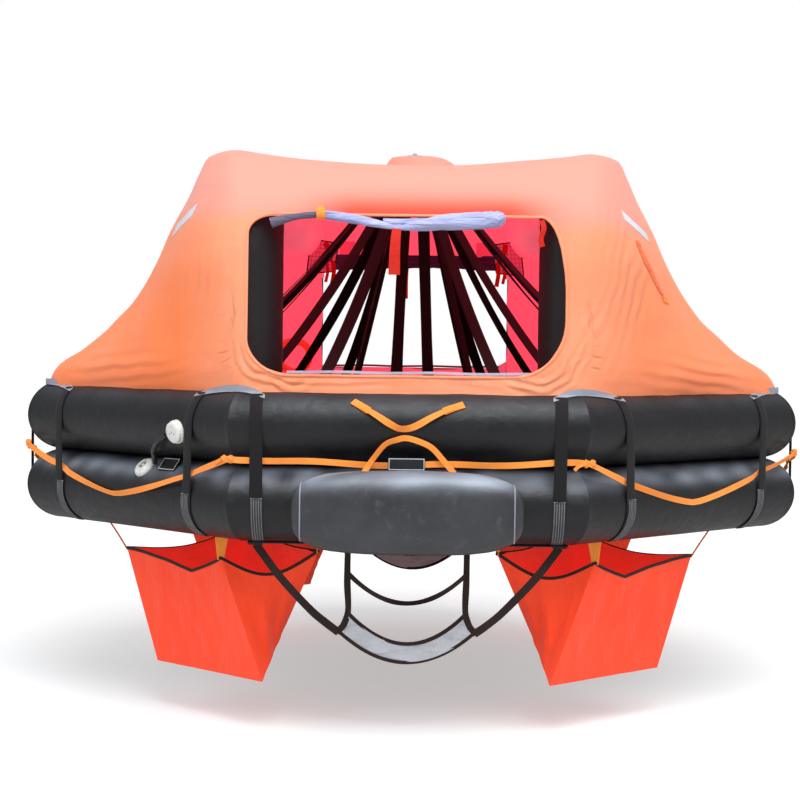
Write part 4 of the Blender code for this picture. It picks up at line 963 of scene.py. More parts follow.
rng = np.random.default_rng(7)
patchAngles = np.linspace(172, 208, 8)
for k in range(8):
    turn = math.radians(45 * k + 22.5)
    top = np.array([math.cos(turn) * bridleLook["headRadius"], math.sin(turn) * bridleLook["headRadius"],
                    bridleLook["headZ"]])
    parts = []
    for side, sign in ((k, 1), (k + 1, -1)):
        along = bridleFoot(side, sign)
        foot = bySide(side, along, bridleLook["footOut"], tube["upperZ"])
        slack = bridleLook["deepSlack" if side % 4 == 0 or abs(foot[0]) > 1.1 else "slack"]
        parts.append(slungStrap(top + [0, 0, 0.0015 * sign], foot, rng.uniform(-0.35, 0.35), slack))
        patchRoute = onTube(side, along, tube["upperZ"], patchAngles, 0.002)
        parts.append(strap(patchRoute, outward(side, patchAngles), 0.055, 0.002, slot=1))
    addPiece(f"bridlePair{k + 1}", parts, "blackWebbing patchRubber", f"bridle_pair_{k + 1}")
for k, (x, y) in enumerate(((-1, -1), (1, -1), (1, 1), (-1, 1))):
    top = np.array([x * bridleLook["floorHead"], y * bridleLook["floorHead"], bridleLook["floorHeadZ"]])
    feet = ((x * 0.42, y * 0.27, bridleLook["floorZ"]), (x * 0.10, y * 0.50, bridleLook["floorZ"]))
    parts = [slungStrap(top - [0, 0, 0.002 * n], np.array(foot), rng.uniform(-0.7, 0.7),
                        bridleLook["floorSlack"]) for n, foot in enumerate(feet)]
    addPiece(f"floorStrapPair{k + 1}", parts, "blackWebbing", f"floor_strap_pair_{k + 1}")

print("raft: lifting gear")
liftLook = {"lugCentre": np.array((0, -0.030, 1.6293)), "lugHalf": 0.010, "lugWide": 0.0150,
            "lugTall": 0.0145, "bore": 0.0075, "linkX": 0.034, "linkY": 0.092, "linkBend": 0.018,
            "linkBar": 0.007}
plateProfile = [(0.001, 1.6220), (0.058, 1.6220), (0.0625, 1.6212), (0.0648, 1.6190), (0.0650, 1.6120),
                (0.0635, 1.6102), (0.001, 1.6100)]
lugC, lugS = np.cos(circle(40)), np.sin(circle(40))
lugWays = np.clip(1.25 * lugC, -1, 1), np.clip(1.25 * lugS, -1, 1)
lugShape = spots(0, liftLook["lugWide"] * lugWays[0], liftLook["lugTall"] * lugWays[1])
lugHole = spots(0, liftLook["bore"] * lugC, liftLook["bore"] * lugS)
lugSide = np.array([liftLook["lugHalf"], 0, 0])
lugRings = np.stack([lugShape - lugSide, lugShape + lugSide, lugHole + lugSide, lugHole - lugSide])
lugGrid = lugRings + liftLook["lugCentre"]
addPiece("liftingPlateSkin", [turnedSkin(plateProfile, (0, 0, 0), (0, 0, 1)), skin(lugGrid, loop=True)],
         "steel", "lifting_plate", crease=35)
# the link: a bar bent round four corners
linkParts, bend = [], liftLook["linkBend"]
for k, (x, y) in enumerate(((1, 1), (-1, 1), (-1, -1), (1, -1))):
    angle = np.linspace(0, np.pi / 2, 9) + k * np.pi / 2
    linkParts.append(spots(x * (liftLook["linkX"] - bend) + bend * np.cos(angle),
                           (liftLook["linkY"] - bend if y > 0 else bend) + bend * np.sin(angle), 0.0))
linkRoute = np.concatenate(linkParts) + liftLook["lugCentre"]
addPiece("liftingLinkSkin", [bar(linkRoute, liftLook["linkBar"], sides=20, loop=True)], "steel",
         "lifting_link", "link")

print("raft: lifeline and handles")
lineLook = {"out": 1.6955, "z": 0.2705, "sag": 0.181, "frontSag": 0.016, "wide": 0.025, "thick": 0.0022,
            "steps": 30, "straps": (0.84, 0.645), "knotAlong": 0.685, "knotOut": 1.6915, "knotZ": 0.281}


# The lifeline: webbing tied at each corner, taut over the ramps and in a deep loop on the other
# sides. It passes behind the corner straps, so it is drawn in there.
def lifelineSkin():
    share = np.linspace(-1, 1, lineLook["steps"], endpoint=False)
    atKnot = np.abs(share) > 0.97
    rows, faces = [], []
    for side in range(8):
        out = lineLook["out"] - 0.019 * bell(np.abs(share), lineLook["straps"][side % 2], 0.07)
        out = out - 0.004 * atKnot
        if side % 4 == 2:
            z = lineLook["z"] + 0.012 - lineLook["frontSag"] * (1 - np.abs(share) ** 1.35)
            z = z + 0.004 * np.sin(share * 9)
            tilt = 0.25 * np.sin(share * 11)
        else:
            place = np.abs(share + 0.05 * (1 - share ** 2))
            z = lineLook["z"] + 0.010 - lineLook["sag"] * (1 - place ** 1.35)
            tilt = 0.55 * np.sin(share * 5 + side)
        rows.append(bySide(side, share * out * halfTurn, out, z))
        ahead = bySide(side, 0.0, 1.0, tilt)
        faces.append(np.where(atKnot[:, None], (ahead + bySide(side - 1, 0.0, 1.0, 0.0)) / 2, ahead))
    return strap(np.concatenate(rows), np.concatenate(faces), lineLook["wide"], lineLook["thick"], loop=True)


# A knot: a small ball of wound webbing, its radius ridged by the turns.
def knotSkin(centre, seed):
    tall, turn = np.linspace(-0.49, 0.49, 18)[:, None] * np.pi, circle(24)
    way = spots(np.cos(tall) * np.cos(turn), np.cos(tall) * np.sin(turn), np.sin(tall))
    ridge = 1 + 0.22 * np.sin(tall * 4 + 2 * turn + seed) + 0.08 * np.sin(5 * turn - 3 * tall)
    return skin(centre + way * ridge[..., None] * (0.011, 0.010, 0.014))


lineParts = [lifelineSkin()]
for side in range(8):
    for sign in (-1, 1):
        centre = bySide(side, sign * lineLook["knotAlong"], lineLook["knotOut"], lineLook["knotZ"])
        lineParts.append(knotSkin(centre, side + sign))
    tail = ((0.675, 1.699, 0.279), (0.655, 1.701, 0.270), (0.640, 1.699, 0.255))
    tailRoute = smoothRows([bySide(side, *spot) for spot in tail], 5)
    lineParts.append(strap(tailRoute, bySide(side, 0.0, 1.0, 0.0), 0.014, 0.0018))
addPiece("lifelineSkin", lineParts, "orangeWebbing", "lifeline")

# A grab handle: its two ends stuck flat to the tube, its middle slack.
grabLine = smoothRows([(-0.217, 0.508), (-0.165, 0.478), (-0.120, 0.452), (-0.072, 0.424), (-0.030, 0.407),
                       (0.020, 0.414), (0.090, 0.450), (0.150, 0.478), (0.213, 0.500)], 8)
grabX, grabCount = grabLine[:, 0], len(grabLine)
grabAngle = np.degrees(np.arcsin((grabLine[:, 1] - tube["upperZ"]) / tube["radius"]))
grabLift = 0.0022 + 0.010 * np.clip(np.sin(np.linspace(0, np.pi, grabCount)) * 1.3, 0, 1)
grabFace = outward(6, grabAngle + 25 * np.sin(np.linspace(0, 3 * np.pi, grabCount)))
grab = [strap(onTube(6, grabX, tube["upperZ"], grabAngle, grabLift), grabFace, 0.027, 0.0022)]
for end in (slice(0, 11), slice(grabCount - 11, grabCount)):
    endRoute = onTube(6, grabX[end], tube["upperZ"], grabAngle[end], grabLift[end] * 0.5 + 0.0022)
    grab.append(strap(endRoute, outward(6, grabAngle[end]), 0.031, 0.0016))
bothEnds("grabHandle{}", grab, "orangeWebbing", "grab_handle_{}")
handleRoute = smoothRows([(-0.169, -1.7430, 0.236), (-0.160, -1.7340, 0.252), (-0.135, -1.7100, 0.290),
                          (-0.090, -1.7015, 0.345), (-0.045, -1.7000, 0.364), (-0.008, -1.7000, 0.371),
                          (0.040, -1.7000, 0.359), (0.090, -1.7010, 0.335), (0.135, -1.7170, 0.288),
                          (0.177, -1.7400, 0.240)], 8)
handleCount = len(handleRoute)
handleFace = spots(0.5 * np.sin(np.linspace(0, 7, handleCount)), -1.0,
                   0.35 * np.cos(np.linspace(0, 9, handleCount)))
bothEnds("rampHandle{}", [strap(handleRoute, handleFace, 0.023, 0.0022)], "orangeWebbing", "ramp_handle_{}")

print("raft: valves, hose and plates")
# turned profiles: radius and height over the tube's skin
capProfile = [(0.001, 0.0258), (0.012, 0.0262), (0.030, 0.0258), (0.0385, 0.0244), (0.0425, 0.0210),
              (0.0432, 0.0090), (0.0475, 0.0066), (0.0480, 0.0), (0.0478, -0.014), (0.001, -0.015)]
dotProfile = [(0.001, 0.0008), (0.0028, 0.0006), (0.0032, -0.002), (0.001, -0.002)]
cupProfile = [(0.019, 0.0060), (0.020, 0.0178), (0.026, 0.0180), (0.035, 0.0150), (0.0415, 0.0105),
              (0.0465, 0.0050), (0.0480, 0.0), (0.0478, -0.014), (0.001, -0.015), (0.001, 0.0050)]
seatProfile = [(0.001, 0.0075), (0.0185, 0.0072), (0.0188, 0.004), (0.001, 0.004)]
stemProfile = [(0.001, 0.0150), (0.005, 0.0145), (0.0065, 0.0120), (0.0065, 0.006), (0.001, 0.006)]
spot, way = onTube(5, 0.375, tube["upperZ"], -13.0), outward(5, -13.0)
across = unit(np.cross(way, [0, 0, 1.0]))
up = np.cross(across, way)
dots = [spot + way * 0.0258 + across * (0.013 * (n - 1)) + up * (0.007 * (n % 2) - 0.003) for n in range(3)]
topping = [turnedSkin(capProfile, spot, way)] + [turnedSkin(dotProfile, dot, way, 16, slot=1) for dot in dots]
addPiece("toppingValveSkin", topping, "whiteNylon blackNylon", "topping_valve", crease=35)
spot, way = onTube(5, 0.100, tube["lowerZ"], 48.0), outward(5, 48.0)
relief = [turnedSkin(cupProfile, spot, way), turnedSkin(seatProfile, spot, way, slot=1),
          turnedSkin(stemProfile, spot, way, 24)]
addPiece("reliefValveSkin", relief, "whiteNylon blackNylon", "relief_valve", crease=35)
hoseRoute = smoothRows([onTube(5, 0.314, tube["upperZ"], -18.0, 0.0111), bySide(5, 0.270, 1.700, 0.330),
                        bySide(5, 0.220, 1.685, 0.292), bySide(5, 0.185, 1.655, 0.268),
                        onTube(5, 0.162, tube["lowerZ"], 54.0, 0.0125)], 14)
hoseRadius = 0.0112 + 0.0006 * np.sin(np.linspace(0, 150, len(hoseRoute)))
addPiece("valveHoseSkin", [bar(hoseRoute, hoseRadius, sides=20)], "blackNylon", "valve_hose")


# A plate bent to what carries it: a grid of its front, one of its back, the rim between them.
# Its UV map is 0 to 1 across the front, for the border.
def addPlate(name, front, back, material, node):
    rows, cols = front.shape[:2]
    mesh = addPiece(name, [sheetSkin(front, back)], material, node, crease=35).data
    corners = np.empty(len(mesh.loops), np.int32)
    mesh.loops.foreach_get("vertex_index", corners)
    place = corners % (2 * cols)
    u = np.where(place < cols, place, 2 * cols - 1 - place) / (cols - 1)
    uv = np.stack([u, corners // (2 * cols) / (rows - 1)], axis=1).astype(np.float32)
    mesh.uv_layers[0].data.foreach_set("uv", uv.ravel())


plateX, plateZ = np.meshgrid(np.linspace(-0.0715, 0.0715, 14) - 0.006, np.linspace(0.025, -0.025, 6) + 0.2705)
plateFront = spots(plateX, -1.7010 + 0.0006 * np.sin(plateX * 40), plateZ)
addPlate("frontPlateSkin", plateFront, plateFront + [0, 0.0018, 0], "frontPlate", "label_plate_front")
# the valve's plate stands off the tube's curve, leaning out at its top
plateAlong, plateUp = np.meshgrid(np.linspace(0.054, -0.054, 14), np.linspace(0.030, -0.030, 8))
plateFlat = onTube(5, 0.255, tube["lowerZ"], 54.9, 0.0083) + bySide(5, plateAlong, 0.0, 0.0)
plateFlat = plateFlat + plateUp[..., None] * outward(5, 127.9)
plateFacing = outward(5, 37.9)
addPlate("valvePlateSkin", plateFlat + plateFacing * 0.0040, plateFlat + plateFacing * 0.0020, "valvePlate",
         "label_plate_valve")

print("raft: water pockets")
pocketLook = {"rim": np.array([(-1.211, -0.920, -0.150), (-0.757, -1.373, -0.136),
                               (-0.357, -1.400, -0.100), (-0.700, -0.750, -0.055)]),
              "bottom": np.array([(-1.057, -1.038, -0.617), (-0.571, -1.500, -0.617),
                                  (-0.500, -1.200, -0.430), (-0.780, -0.860, -0.430)]),
              "perWall": 40, "rows": 40, "dips": (0.066, 0.080, 0.030, 0.045), "notch": 0.70, "thick": 0.0022}


# A water pocket: four walls between a rim and a bottom. The rim dips between its corners, the
# walls fold in and out as slack cloth does, and the bottom is drawn in to its middle.
def pocketSkin(seed):
    t = np.linspace(0, 1, pocketLook["perWall"], endpoint=False)
    top, low = (np.concatenate([four[k] + (four[(k + 1) % 4] - four[k]) * t[:, None] for k in range(4)])
                for four in (pocketLook["rim"], pocketLook["bottom"]))
    wave, notch = np.sin(np.pi * t), pocketLook["notch"]
    front = np.where(t < notch, (t / notch) ** 1.4, ((1 - t) / (1 - notch)) ** 0.8)
    belly = wave ** 1.1
    shares = (front, belly, belly, belly)
    dips = np.concatenate([share * size for share, size in zip(shares, pocketLook["dips"])])
    top = top - np.array([0, 0, 1.0]) * dips[:, None]
    down = np.linspace(0, 1, pocketLook["rows"])[:, None]
    wall = top + (low - top) * down[..., None]
    middle = wall.mean(axis=1, keepdims=True)
    inside = np.clip(np.tile(wave ** 0.8, 4) * 1.6, 0, 1)
    inside = inside * np.sin(np.pi * np.clip(down * 0.94 + 0.03, 0, 1)) ** 0.5
    streak = np.sin(np.tile(t, 4) * 17 + down * 3 + np.repeat([0, 2, 4, 5], len(t)))
    push = 0.010 * streak * ripple(wall * [1, 1, 0.45], 0.30, seed)
    push = push + 0.006 * ripple(wall * [1, 1, 0.7], 0.11, seed + 1) - 0.008
    wall = wall + unit((wall - middle) * [1, 1, 0]) * (push * inside)[..., None]
    draw = np.linspace(1, 0.02, 12)[1:, None, None]
    centre = low.mean(axis=0)
    base = centre + (low - centre) * draw
    base[..., 2] += 0.006 * (1 - draw[..., 0]) * ripple(base, 0.15, seed + 2)
    outer = np.concatenate([wall, base])
    return pipeSkin(outer, outer + gridNormal(outer) * pocketLook["thick"], 1), wall[0]


pocketShell, pocketRim = pocketSkin(101)
bindRoute = pocketRim - [0, 0, 0.003]
binding = strap(bindRoute, unit((bindRoute - bindRoute.mean(axis=0)) * [1, 1, 0]), 0.013, 0.0055, loop=True)
pocketTies = []
# each tie: its width at the rim and at the top, the place of its top, beside the corner
tieLook = ((0.010, 0.010, (-0.072, -0.004, -0.043)), (0.027, 0.056, (0.004, 0.0, -0.046)),
           (0.020, 0.022, (0, 0, -0.036)), (0.020, 0.022, (0, 0, -0.036)))
for corner, (lowWide, topWide, topPlace) in zip(pocketLook["rim"], tieLook):
    inward = unit((pocketLook["rim"].mean(axis=0) - corner) * [1, 1, 0])
    topSpot = corner * [1, 1, 0] + topPlace
    low = corner + inward * 0.004 - [0, 0, 0.012]
    route = smoothRows([low, (low + topSpot) / 2 + inward * 0.002, topSpot], 6)
    pocketTies.append(strap(route, -inward, np.linspace(lowWide, topWide, len(route)), 0.002))
for k, (x, y) in enumerate(((1, 1), (-1, 1), (1, -1), (-1, -1))):
    name = f"waterPocket{k + 1}"
    addPiece(name + "Skin", mirrored([pocketShell], x, y), "bagCloth bagLining",
                            f"water_pocket_{k + 1}", crease=60)
    addPiece(name + "Binding", mirrored([binding], x, y), "brownWebbing")
    addPiece(name + "Ties", mirrored(pocketTies, x, y), "orangeWebbing")

print("raft: ladders")
ladderLook = {"y": -1.5375, "axisZ": -0.062, "thick": 0.0034}


# The height of a slack web at x, a parabola between its ends and its middle.
def slungZ(ends, middle, half, x):
    return middle + (ends - middle) * (x / half) ** 2


# A web of the ladder through points of x and z, a little out of true and turned by its twist.
def ladderWeb(points, wide, twist, seed):
    route = smoothRows([(x, ladderLook["y"], z) for x, z in points], 10)
    t = np.linspace(0, 1, len(route))
    route[:, 1] += 0.004 * np.sin(t * 7 + seed) * np.sin(np.pi * t)
    face = spots(np.sin(t * 5 + seed) * twist, -1.0, np.cos(t * 6 + seed) * twist * np.sin(np.pi * t))
    return strap(route, face, wide, ladderLook["thick"])


outerWeb = ((0.600, -0.062), (0.505, -0.187), (0.385, -0.315), (0.318, -0.372), (0.268, -0.408))
innerWebs = (((-0.235, -0.062), (-0.236, -0.20), (-0.231, -0.30), (-0.234, -0.345)),
             ((0.235, -0.062), (0.234, -0.20), (0.231, -0.30), (0.234, -0.345)))
footWeb = ((0.232, -0.335), (0.250, -0.380), (0.276, -0.410))
ladder = [ladderWeb([(sign * x, z) for x, z in outerWeb], 0.032, 0.2, seed)
          for sign, seed in ((-1, 2), (1, 5))]
ladder += [ladderWeb(web, 0.027, 0.5, seed) for web, seed in zip(innerWebs, (1, 4))]
# the slack webs: ends' height, middle's, the half that these are for, the half built, points, looks
for ends, middle, half, reach, count, *look in ((-0.172, -0.290, 0.235, 0.235, 15, 0.020, 0.75, 3),
                                                (-0.328, -0.450, 0.235, 0.235, 15, 0.016, 0.25, 7),
                                                (-0.402, -0.524, 0.27, 0.272, 17, 0.015, 0.25, 9)):
    webPlaces = np.linspace(-reach, reach, count)
    ladder.append(ladderWeb([(x, slungZ(ends, middle, half, x)) for x in webPlaces], *look))
ladder += [ladderWeb([(sign * x, z) for x, z in footWeb], 0.026, 0.2, 2) for sign in (-1, 1)]
for x, wide in ((-0.600, 0.056), (-0.235, 0.032), (0.235, 0.032), (0.600, 0.056)):
    ladder.append(bar(spots(x + wide * np.linspace(-0.5, 0.5, 5), ladderLook["y"], ladderLook["axisZ"]),
                      0.004, sides=12))
bothEnds("ladderWebs{}", ladder, "brownWebbing", "ladder_{}", "{}_ladder")

# The step: a coated sheet between the two lower webs, bellied and creased.
u, v = np.meshgrid(np.linspace(-1, 1, 60), np.linspace(0, 1, 18))
stepX = u * (0.228 + 0.026 * v)
stepZ = slungZ(-0.332, -0.454, 0.235, u * 0.228) * (1 - v) + slungZ(-0.400, -0.522, 0.27, stepX) * v
stepY = 0.0016 * np.sin(u * 9 + 3 * v) + 0.001 * np.sin(v * 12 - u * 6)
stepY = ladderLook["y"] + stepY * np.sin(np.pi * v)
stepGrid = spots(stepX, stepY, stepZ)
step = sheetSkin(stepGrid - [0, 0.0006, 0], stepGrid + [0, 0.0006, 0])
steps = bothEnds("ladderStep{}", [step], "stepSheet", "ladder_step_{}", "{}_ladder", 50)
stripRoute = spots(np.linspace(-0.630, 0.630, 40), ladderLook["y"], -0.0535)
bothEnds("ladderStrip{}", [strap(stripRoute, (0, 0, -1), 0.056, 0.0075)], "hull", "ladder_strip_{}")

print("raft: cylinder, righting strap and coiled line")
bottleLook = {"y": 0.55, "z": -0.150, "radius": 0.0800, "pouchHalf": 0.150}
bottle = [(0.001, 0.300), (0.024, 0.300), (0.029, 0.296), (0.030, 0.290), (0.030, 0.272), (0.038, 0.262),
          (0.058, 0.246), (0.072, 0.226), (0.0785, 0.205), (0.080, 0.180), (0.080, -0.235), (0.077, -0.262),
          (0.068, -0.282), (0.050, -0.295), (0.025, -0.2995), (0.001, -0.300)]
addPiece("gasCylinderSkin", [turnedSkin(bottle, (0, bottleLook["y"], bottleLook["z"]), (1, 0, 0))],
         "redPaint", "gas_cylinder")

# The pouch: a cloth sleeve round the cylinder, and two cloth sides that hang it from the floor.
pouchX, pouchTurn = np.linspace(-bottleLook["pouchHalf"], bottleLook["pouchHalf"], 30)[:, None], circle(64)
waves = 0.0010 * np.sin(pouchX * 70 + 2 * np.sin(pouchTurn * 3))
sleeveRadii = bottleLook["radius"] + 0.0030 + waves, bottleLook["radius"] + 0.0008 + 0 * waves
sleeve = [spots(pouchX, bottleLook["y"] + radius * np.cos(pouchTurn),
                bottleLook["z"] + radius * np.sin(pouchTurn)) for radius in sleeveRadii]
pouch = [pipeSkin(*sleeve)]
down = np.linspace(0, 1, 20)
for sign in (-1, 1):
    sideY = bottleLook["y"] + sign * (0.058 + 0.0245 * down ** 0.7) + 0.0015 * np.sin(pouchX * 50 + down * 4)
    side = spots(pouchX, sideY, -0.0362 - 0.110 * down)
    pouch.append(sheetSkin(side, side - [0, sign * 0.002, 0]))
pouchPiece = addPiece("cylinderPouchSkin", pouch, "hull", "cylinder_pouch", crease=50)

strapX = np.linspace(-1.350, 1.350, 120)
underRoute = spots(strapX, 0.0, -0.0372 - 0.0006 * (1 + np.sin(strapX * 13)))
addPiece("rightingStrapSkin", [strap(underRoute, (0, 0, -1), 0.050, 0.0022)], "blackWebbing",
         "righting_strap")

# The coiled line: a rope laid in five turns round a ring, each turn a little off the last.
coilCentre, coilReach = np.array([-0.655, 1.2300, 0.670]), 0.084
coilTurn = np.linspace(0, 10 * np.pi, 420)
coilRadius = coilReach + 0.011 * np.cos(coilTurn * 0.8 + 1)
coilRoute = coilCentre + spots(coilRadius * np.cos(coilTurn), 0.011 * np.sin(coilTurn * 0.8 + 1),
                               coilRadius * np.sin(coilTurn))
coilRoute = coilRoute + 0.0015 * np.stack([ripple(coilRoute, 0.05, seed) for seed in (1, 2, 3)], axis=1)
coil = [bar(coilRoute, 0.0085 + 0.0009 * np.sin(np.linspace(0, 700, len(coilRoute))), (0, 1, 0.01), 12)]
for angle in (1.3, 3.6):
    out = np.array([math.cos(angle), 0, math.sin(angle)])
    ringWay = ringed(out[None], np.array([[0, 1.0, 0]]), circle(24))[0]
    coil.append(strap(coilCentre + out * coilReach + ringWay * 0.0235, ringWay, 0.016, 0.0015, loop=True))
addPiece("rescueCoil", coil, "redRope", "rescue_quoit")

print("raft: lining, nets and tape")


# The lining that hangs before an arch's rear legs, a sheet between two edges.
def liningSkin(sign):
    down, over = np.meshgrid(np.linspace(0, 1, 60), np.linspace(0, 1, 26), indexing="ij")
    z = 1.470 - 0.915 * down
    inner = 0.512 - 0.006 * np.sin(down * 3.1) + 0.005 * np.sin(down * 19)
    outer = np.minimum(np.interp(z, wallRows[:, 0], wallRows[:, 2]) - 0.04, 1.05)
    y = 1.262 - 0.16 * over ** 2 - 0.005 * (1 + np.sin(over * 16 + down * 5))
    y = y - 0.003 * (1 + np.sin(down * 14 + over * 4))
    grid = spots(sign * (inner + (outer - inner) * over), y, z)
    return sheetSkin(grid, grid + [0, 0.0015, 0])


linings = [addPiece("rearLining" + name, [liningSkin(sign)], "innerCloth")
           for name, sign in (("Left", -1), ("Right", 1))]

# A stowage net: thin cords in a lattice on a bound frame before a thin panel, with tags, and a
# square patch on the wall beyond it. The frame's corners are across and up from its centre.
netLook = {"centre": (0.500, 1.205, 1.218), "frame": 0.0034, "cord": 0.0007,
           "corners": np.array([(-0.070, 0.092), (0.082, 0.070), (0.058, -0.085), (-0.092, -0.098)]),
           # each tag: its place across, its top, its foot, its width, and how far its top leans in
           "tags": ((-0.040, 1.290, 1.185, 0.030, 0.030), (-0.052, 1.190, 1.060, 0.024, 0.0),
                    (-0.018, 1.175, 1.075, 0.018, 0.0))}
nets, panels, tags, wallPatches = [], [], [], []
for sign in (-1, 1):
    netX, netY, netZ = np.array(netLook["centre"]) * [sign, 1, 1]
    corners = netLook["corners"]

    def hung(points, back=0.0):
        return spots(netX - sign * points[..., 0], netY + back, netZ + points[..., 1])

    frameLine = np.concatenate([np.linspace(corners[k], corners[(k + 1) % 4], 8, endpoint=False)
                                for k in range(4)])
    nets.append(bar(hung(frameLine), netLook["frame"], (0, 1, 0), 8, loop=True))
    panel = hung(corners[[0, 1, 3, 2]].reshape(2, 2, 2), 0.004)
    panels.append(sheetSkin(panel, panel + [0, 0.0012, 0]))
    for share in np.linspace(0.12, 0.88, 7):
        for a, b, c, d in ((0, 1, 3, 2), (0, 3, 1, 2)):
            first, last = (corners[p] + (corners[q] - corners[p]) * share for p, q in ((a, b), (c, d)))
            nets.append(bar(hung(np.linspace(first, last, 8)), netLook["cord"], (0, 1, 0), 5))
    t = np.linspace(0, 1, 8)
    for across, top, low, wide, lean in netLook["tags"]:
        tagX = netX + sign * (across + lean * (1 - t)) + 0.006 * np.sin(t * 4)
        route = spots(tagX, 1.196, top + (low - top) * t)
        tags.append(strap(route, (0.2 * sign, -1, 0), wide, 0.0015))
    patchZ = np.linspace(1.318, 1.238, 6)
    wallPatches.append(strap(spots(sign * 0.385, -frontY(patchZ) - 0.012, patchZ), (0, -1, 0), 0.088, 0.0018))
for name, parts, material in (("stowageNets", nets, "blackWebbing"), ("stowagePanels", panels, "netPanel"),
                              ("stowageTags", tags, "tagCloth"), ("wallPatches", wallPatches, "netPanel")):
    addPiece(name, parts, material)


# A strip on the canopy that follows its skin along a line of places and heights. Its width lies
# along a way given in the same two numbers, and its thickness outwards.
def stripSkin(places, heights, widePlace, wideHeight, thick=0.0012):
    across = np.linspace(0.5, -0.5, 8)
    columns = []
    for at, height, wide in zip(places, heights, np.broadcast_to(widePlace, len(places))):
        levels = height + across * wideHeight
        rows = np.stack([np.interp(levels, wallRows[:, 0], wallRows[:, k]) for k in range(7)], axis=1)
        columns.append(canopyRing(rows, at + across * wide)[np.arange(8), np.arange(8)])
    grid = np.stack(columns, axis=1)
    normal = unit(np.cross(np.gradient(grid, axis=1), np.gradient(grid, axis=0)))
    if (normal[..., :2] * grid[..., :2]).sum() < 0:
        normal = -normal
    thick = np.asarray(thick) + 0.0002
    lifted = grid + normal * (creased(grid) + 0.0002 + thick)[..., None]
    return sheetSkin(lifted, lifted - normal * thick[..., None])


tapeLine = np.linspace(0, 1, 20)
# each tape: its ends' places and heights, and its width
tapeLook = ((0.540, 0.640, 1.258, 1.176, 0.036), (3.415, 3.335, 1.262, 1.186, 0.052),
            (1.460, 1.360, 1.258, 1.176, 0.036), (2.585, 2.665, 1.262, 1.186, 0.052))
tapes = [stripSkin(a + (b - a) * tapeLine, high + (low - high) * tapeLine, 0.0, wide)
         for a, b, high, low, wide in tapeLook]
addPiece("reflectiveTape", tapes, "beadTape", crease=40)
# the rainwater sleeve: a flat tube of cloth laid down the right flank, with a tie at its foot
rainLine = np.linspace(0, 1, 24)
rainThick = 0.0055 * np.sin(np.pi * np.linspace(0, 1, 8))[:, None]
rainThick = 0.0015 + rainThick * np.sin(np.pi * (0.1 + 0.85 * rainLine))
rainWide = 0.012 + 0.012 * np.sin(np.pi * rainLine ** 0.7)
rainSleeve = stripSkin(0.570 + 0.030 * rainLine, 1.158 - 0.222 * rainLine, rainWide, 0.0, rainThick)
addPiece("rainSleeve", [rainSleeve], "sleeveCloth", crease=60)
tieLine = np.linspace(-1, 1, 12)
rainTie = stripSkin(0.601 + 0.011 * tieLine, 0.930 - 0.012 * (1 - tieLine ** 2), 0.0, 0.010, 0.005)
addPiece("rainSleeveTie", [rainTie], "orangeWebbing", crease=60)

print("raft: stage, light and camera")
stageLook = {"half": 40, "back": 60, "z": -0.82, "colour": "#DCDCDB", "glow": 0.44}
half, back, floorZ = stageLook["half"], stageLook["back"], stageLook["z"]
stageFloor = bpy.data.objects.new("stageFloor", bpy.data.meshes.new("stageFloor"))
floorCorners = [(-half, -half, floorZ), (half, -half, floorZ), (half, back, floorZ), (-half, back, floorZ)]
stageFloor.data.from_pydata(floorCorners, [], [(0, 1, 2, 3)])
paper, paperTree, paperShader, _ = startMaterial("stagePaper", {
    "Roughness": 0.9, "Base Color": toLinear(stageLook["colour"]), "Emission Color": (1, 1, 1, 1)})
paperSeen = addNode(paperTree, "ShaderNodeLightPath").outputs["Is Camera Ray"]
paperGlow = addNode(paperTree, "ShaderNodeMath", {0: paperSeen, 1: stageLook["glow"]}, operation="MULTIPLY")
paperTree.links.new(paperGlow.outputs[0], paperShader.inputs["Emission Strength"])
stageFloor.data.materials.append(paper)
bpy.context.scene.collection.objects.link(stageFloor)

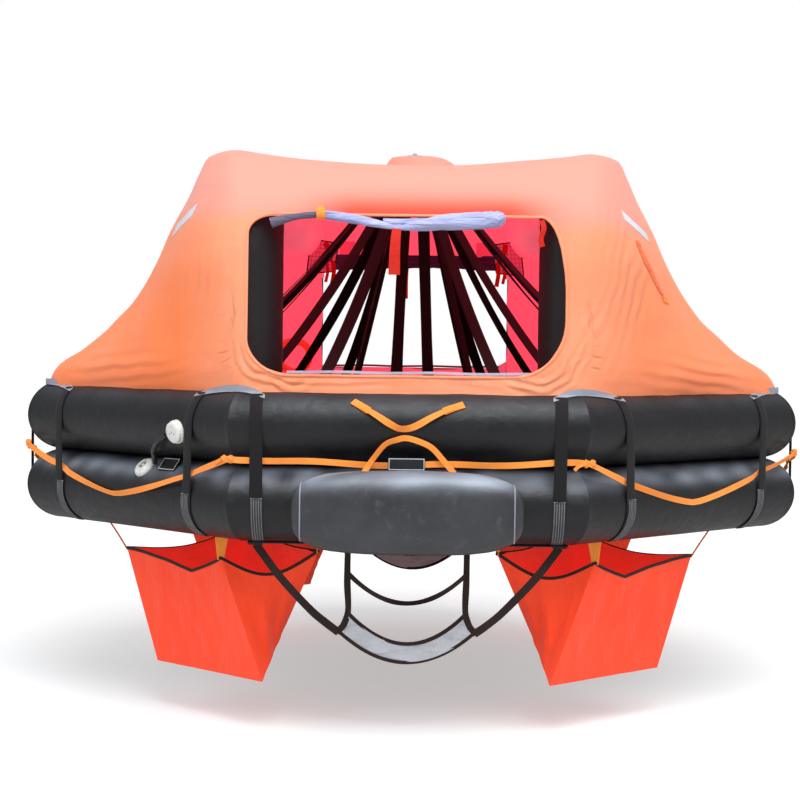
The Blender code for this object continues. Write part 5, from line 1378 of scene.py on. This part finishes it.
# the room's light: a soft even grey-white, shown as white paper behind the raft
bpy.context.scene.view_settings.view_transform = "Standard"
world = bpy.data.worlds.new("studio")
bpy.context.scene.world = world
world.use_nodes = True
roomTree = world.node_tree
roomLight = roomTree.nodes["Background"]
roomLight.inputs["Color"].default_value = (0.92, 0.95, 1.0, 1)
roomLight.inputs["Strength"].default_value = 0.50
roomPaper = addNode(roomTree, "ShaderNodeBackground", {"Color": (1, 1, 1, 1), "Strength": 1.0}).outputs[0]
roomSeen = addNode(roomTree, "ShaderNodeLightPath").outputs["Is Camera Ray"]
roomBoth = addNode(roomTree, "ShaderNodeMixShader", {0: roomSeen, 1: roomLight.outputs[0], 2: roomPaper})
roomTree.links.new(roomBoth.outputs[0], roomTree.nodes["World Output"].inputs["Surface"])


# A lamp at a spot that shines towards another.
def addLamp(name, kind, spot, aim, energy, colour, **settings):
    light = bpy.data.lights.new(name, kind)
    light.energy, light.color = energy, colour
    for key, value in settings.items():
        setattr(light, key, value)
    made = bpy.data.objects.new(name, light)
    made.location = spot
    made.rotation_euler = (Vector(aim) - Vector(spot)).to_track_quat("-Z", "Y").to_euler()
    bpy.context.scene.collection.objects.link(made)


for name, spot, aim, watts in (("skyPanel", (0.3, -4.6, 4.7), (0, -1.4, 0.3), 165),
                               ("skyPanelLeft", (-5.0, -4.4, 4.2), (-1.1, -1.1, 0.3), 85),
                               ("skyPanelRight", (5.2, -4.4, 4.2), (1.1, -1.1, 0.3), 60)):
    addLamp(name, "AREA", spot, aim, watts, (0.86, 0.93, 1.0), shape="SQUARE", size=3.2)
addLamp("softSun", "SUN", (0, 0, 0), (-0.25, 0.50, -1.0), 1.5, (1.0, 0.98, 0.95), angle=math.radians(50))

camera = bpy.data.objects.new("camera", bpy.data.cameras.new("camera"))
bpy.context.scene.collection.objects.link(camera)
camera.data.lens, camera.data.sensor_width, camera.data.clip_end = 81.0, 36.0, 200
turns = [Matrix.Rotation(math.radians(angle), 4, axis)
         for angle, axis in ((0.78, "Z"), (90 - 1.59, "X"), (0.7, "Z"))]
camera.matrix_world = Matrix.Translation((0.06, -8.62, 0.71)) @ turns[0] @ turns[1] @ turns[2]
bpy.context.scene.camera = camera
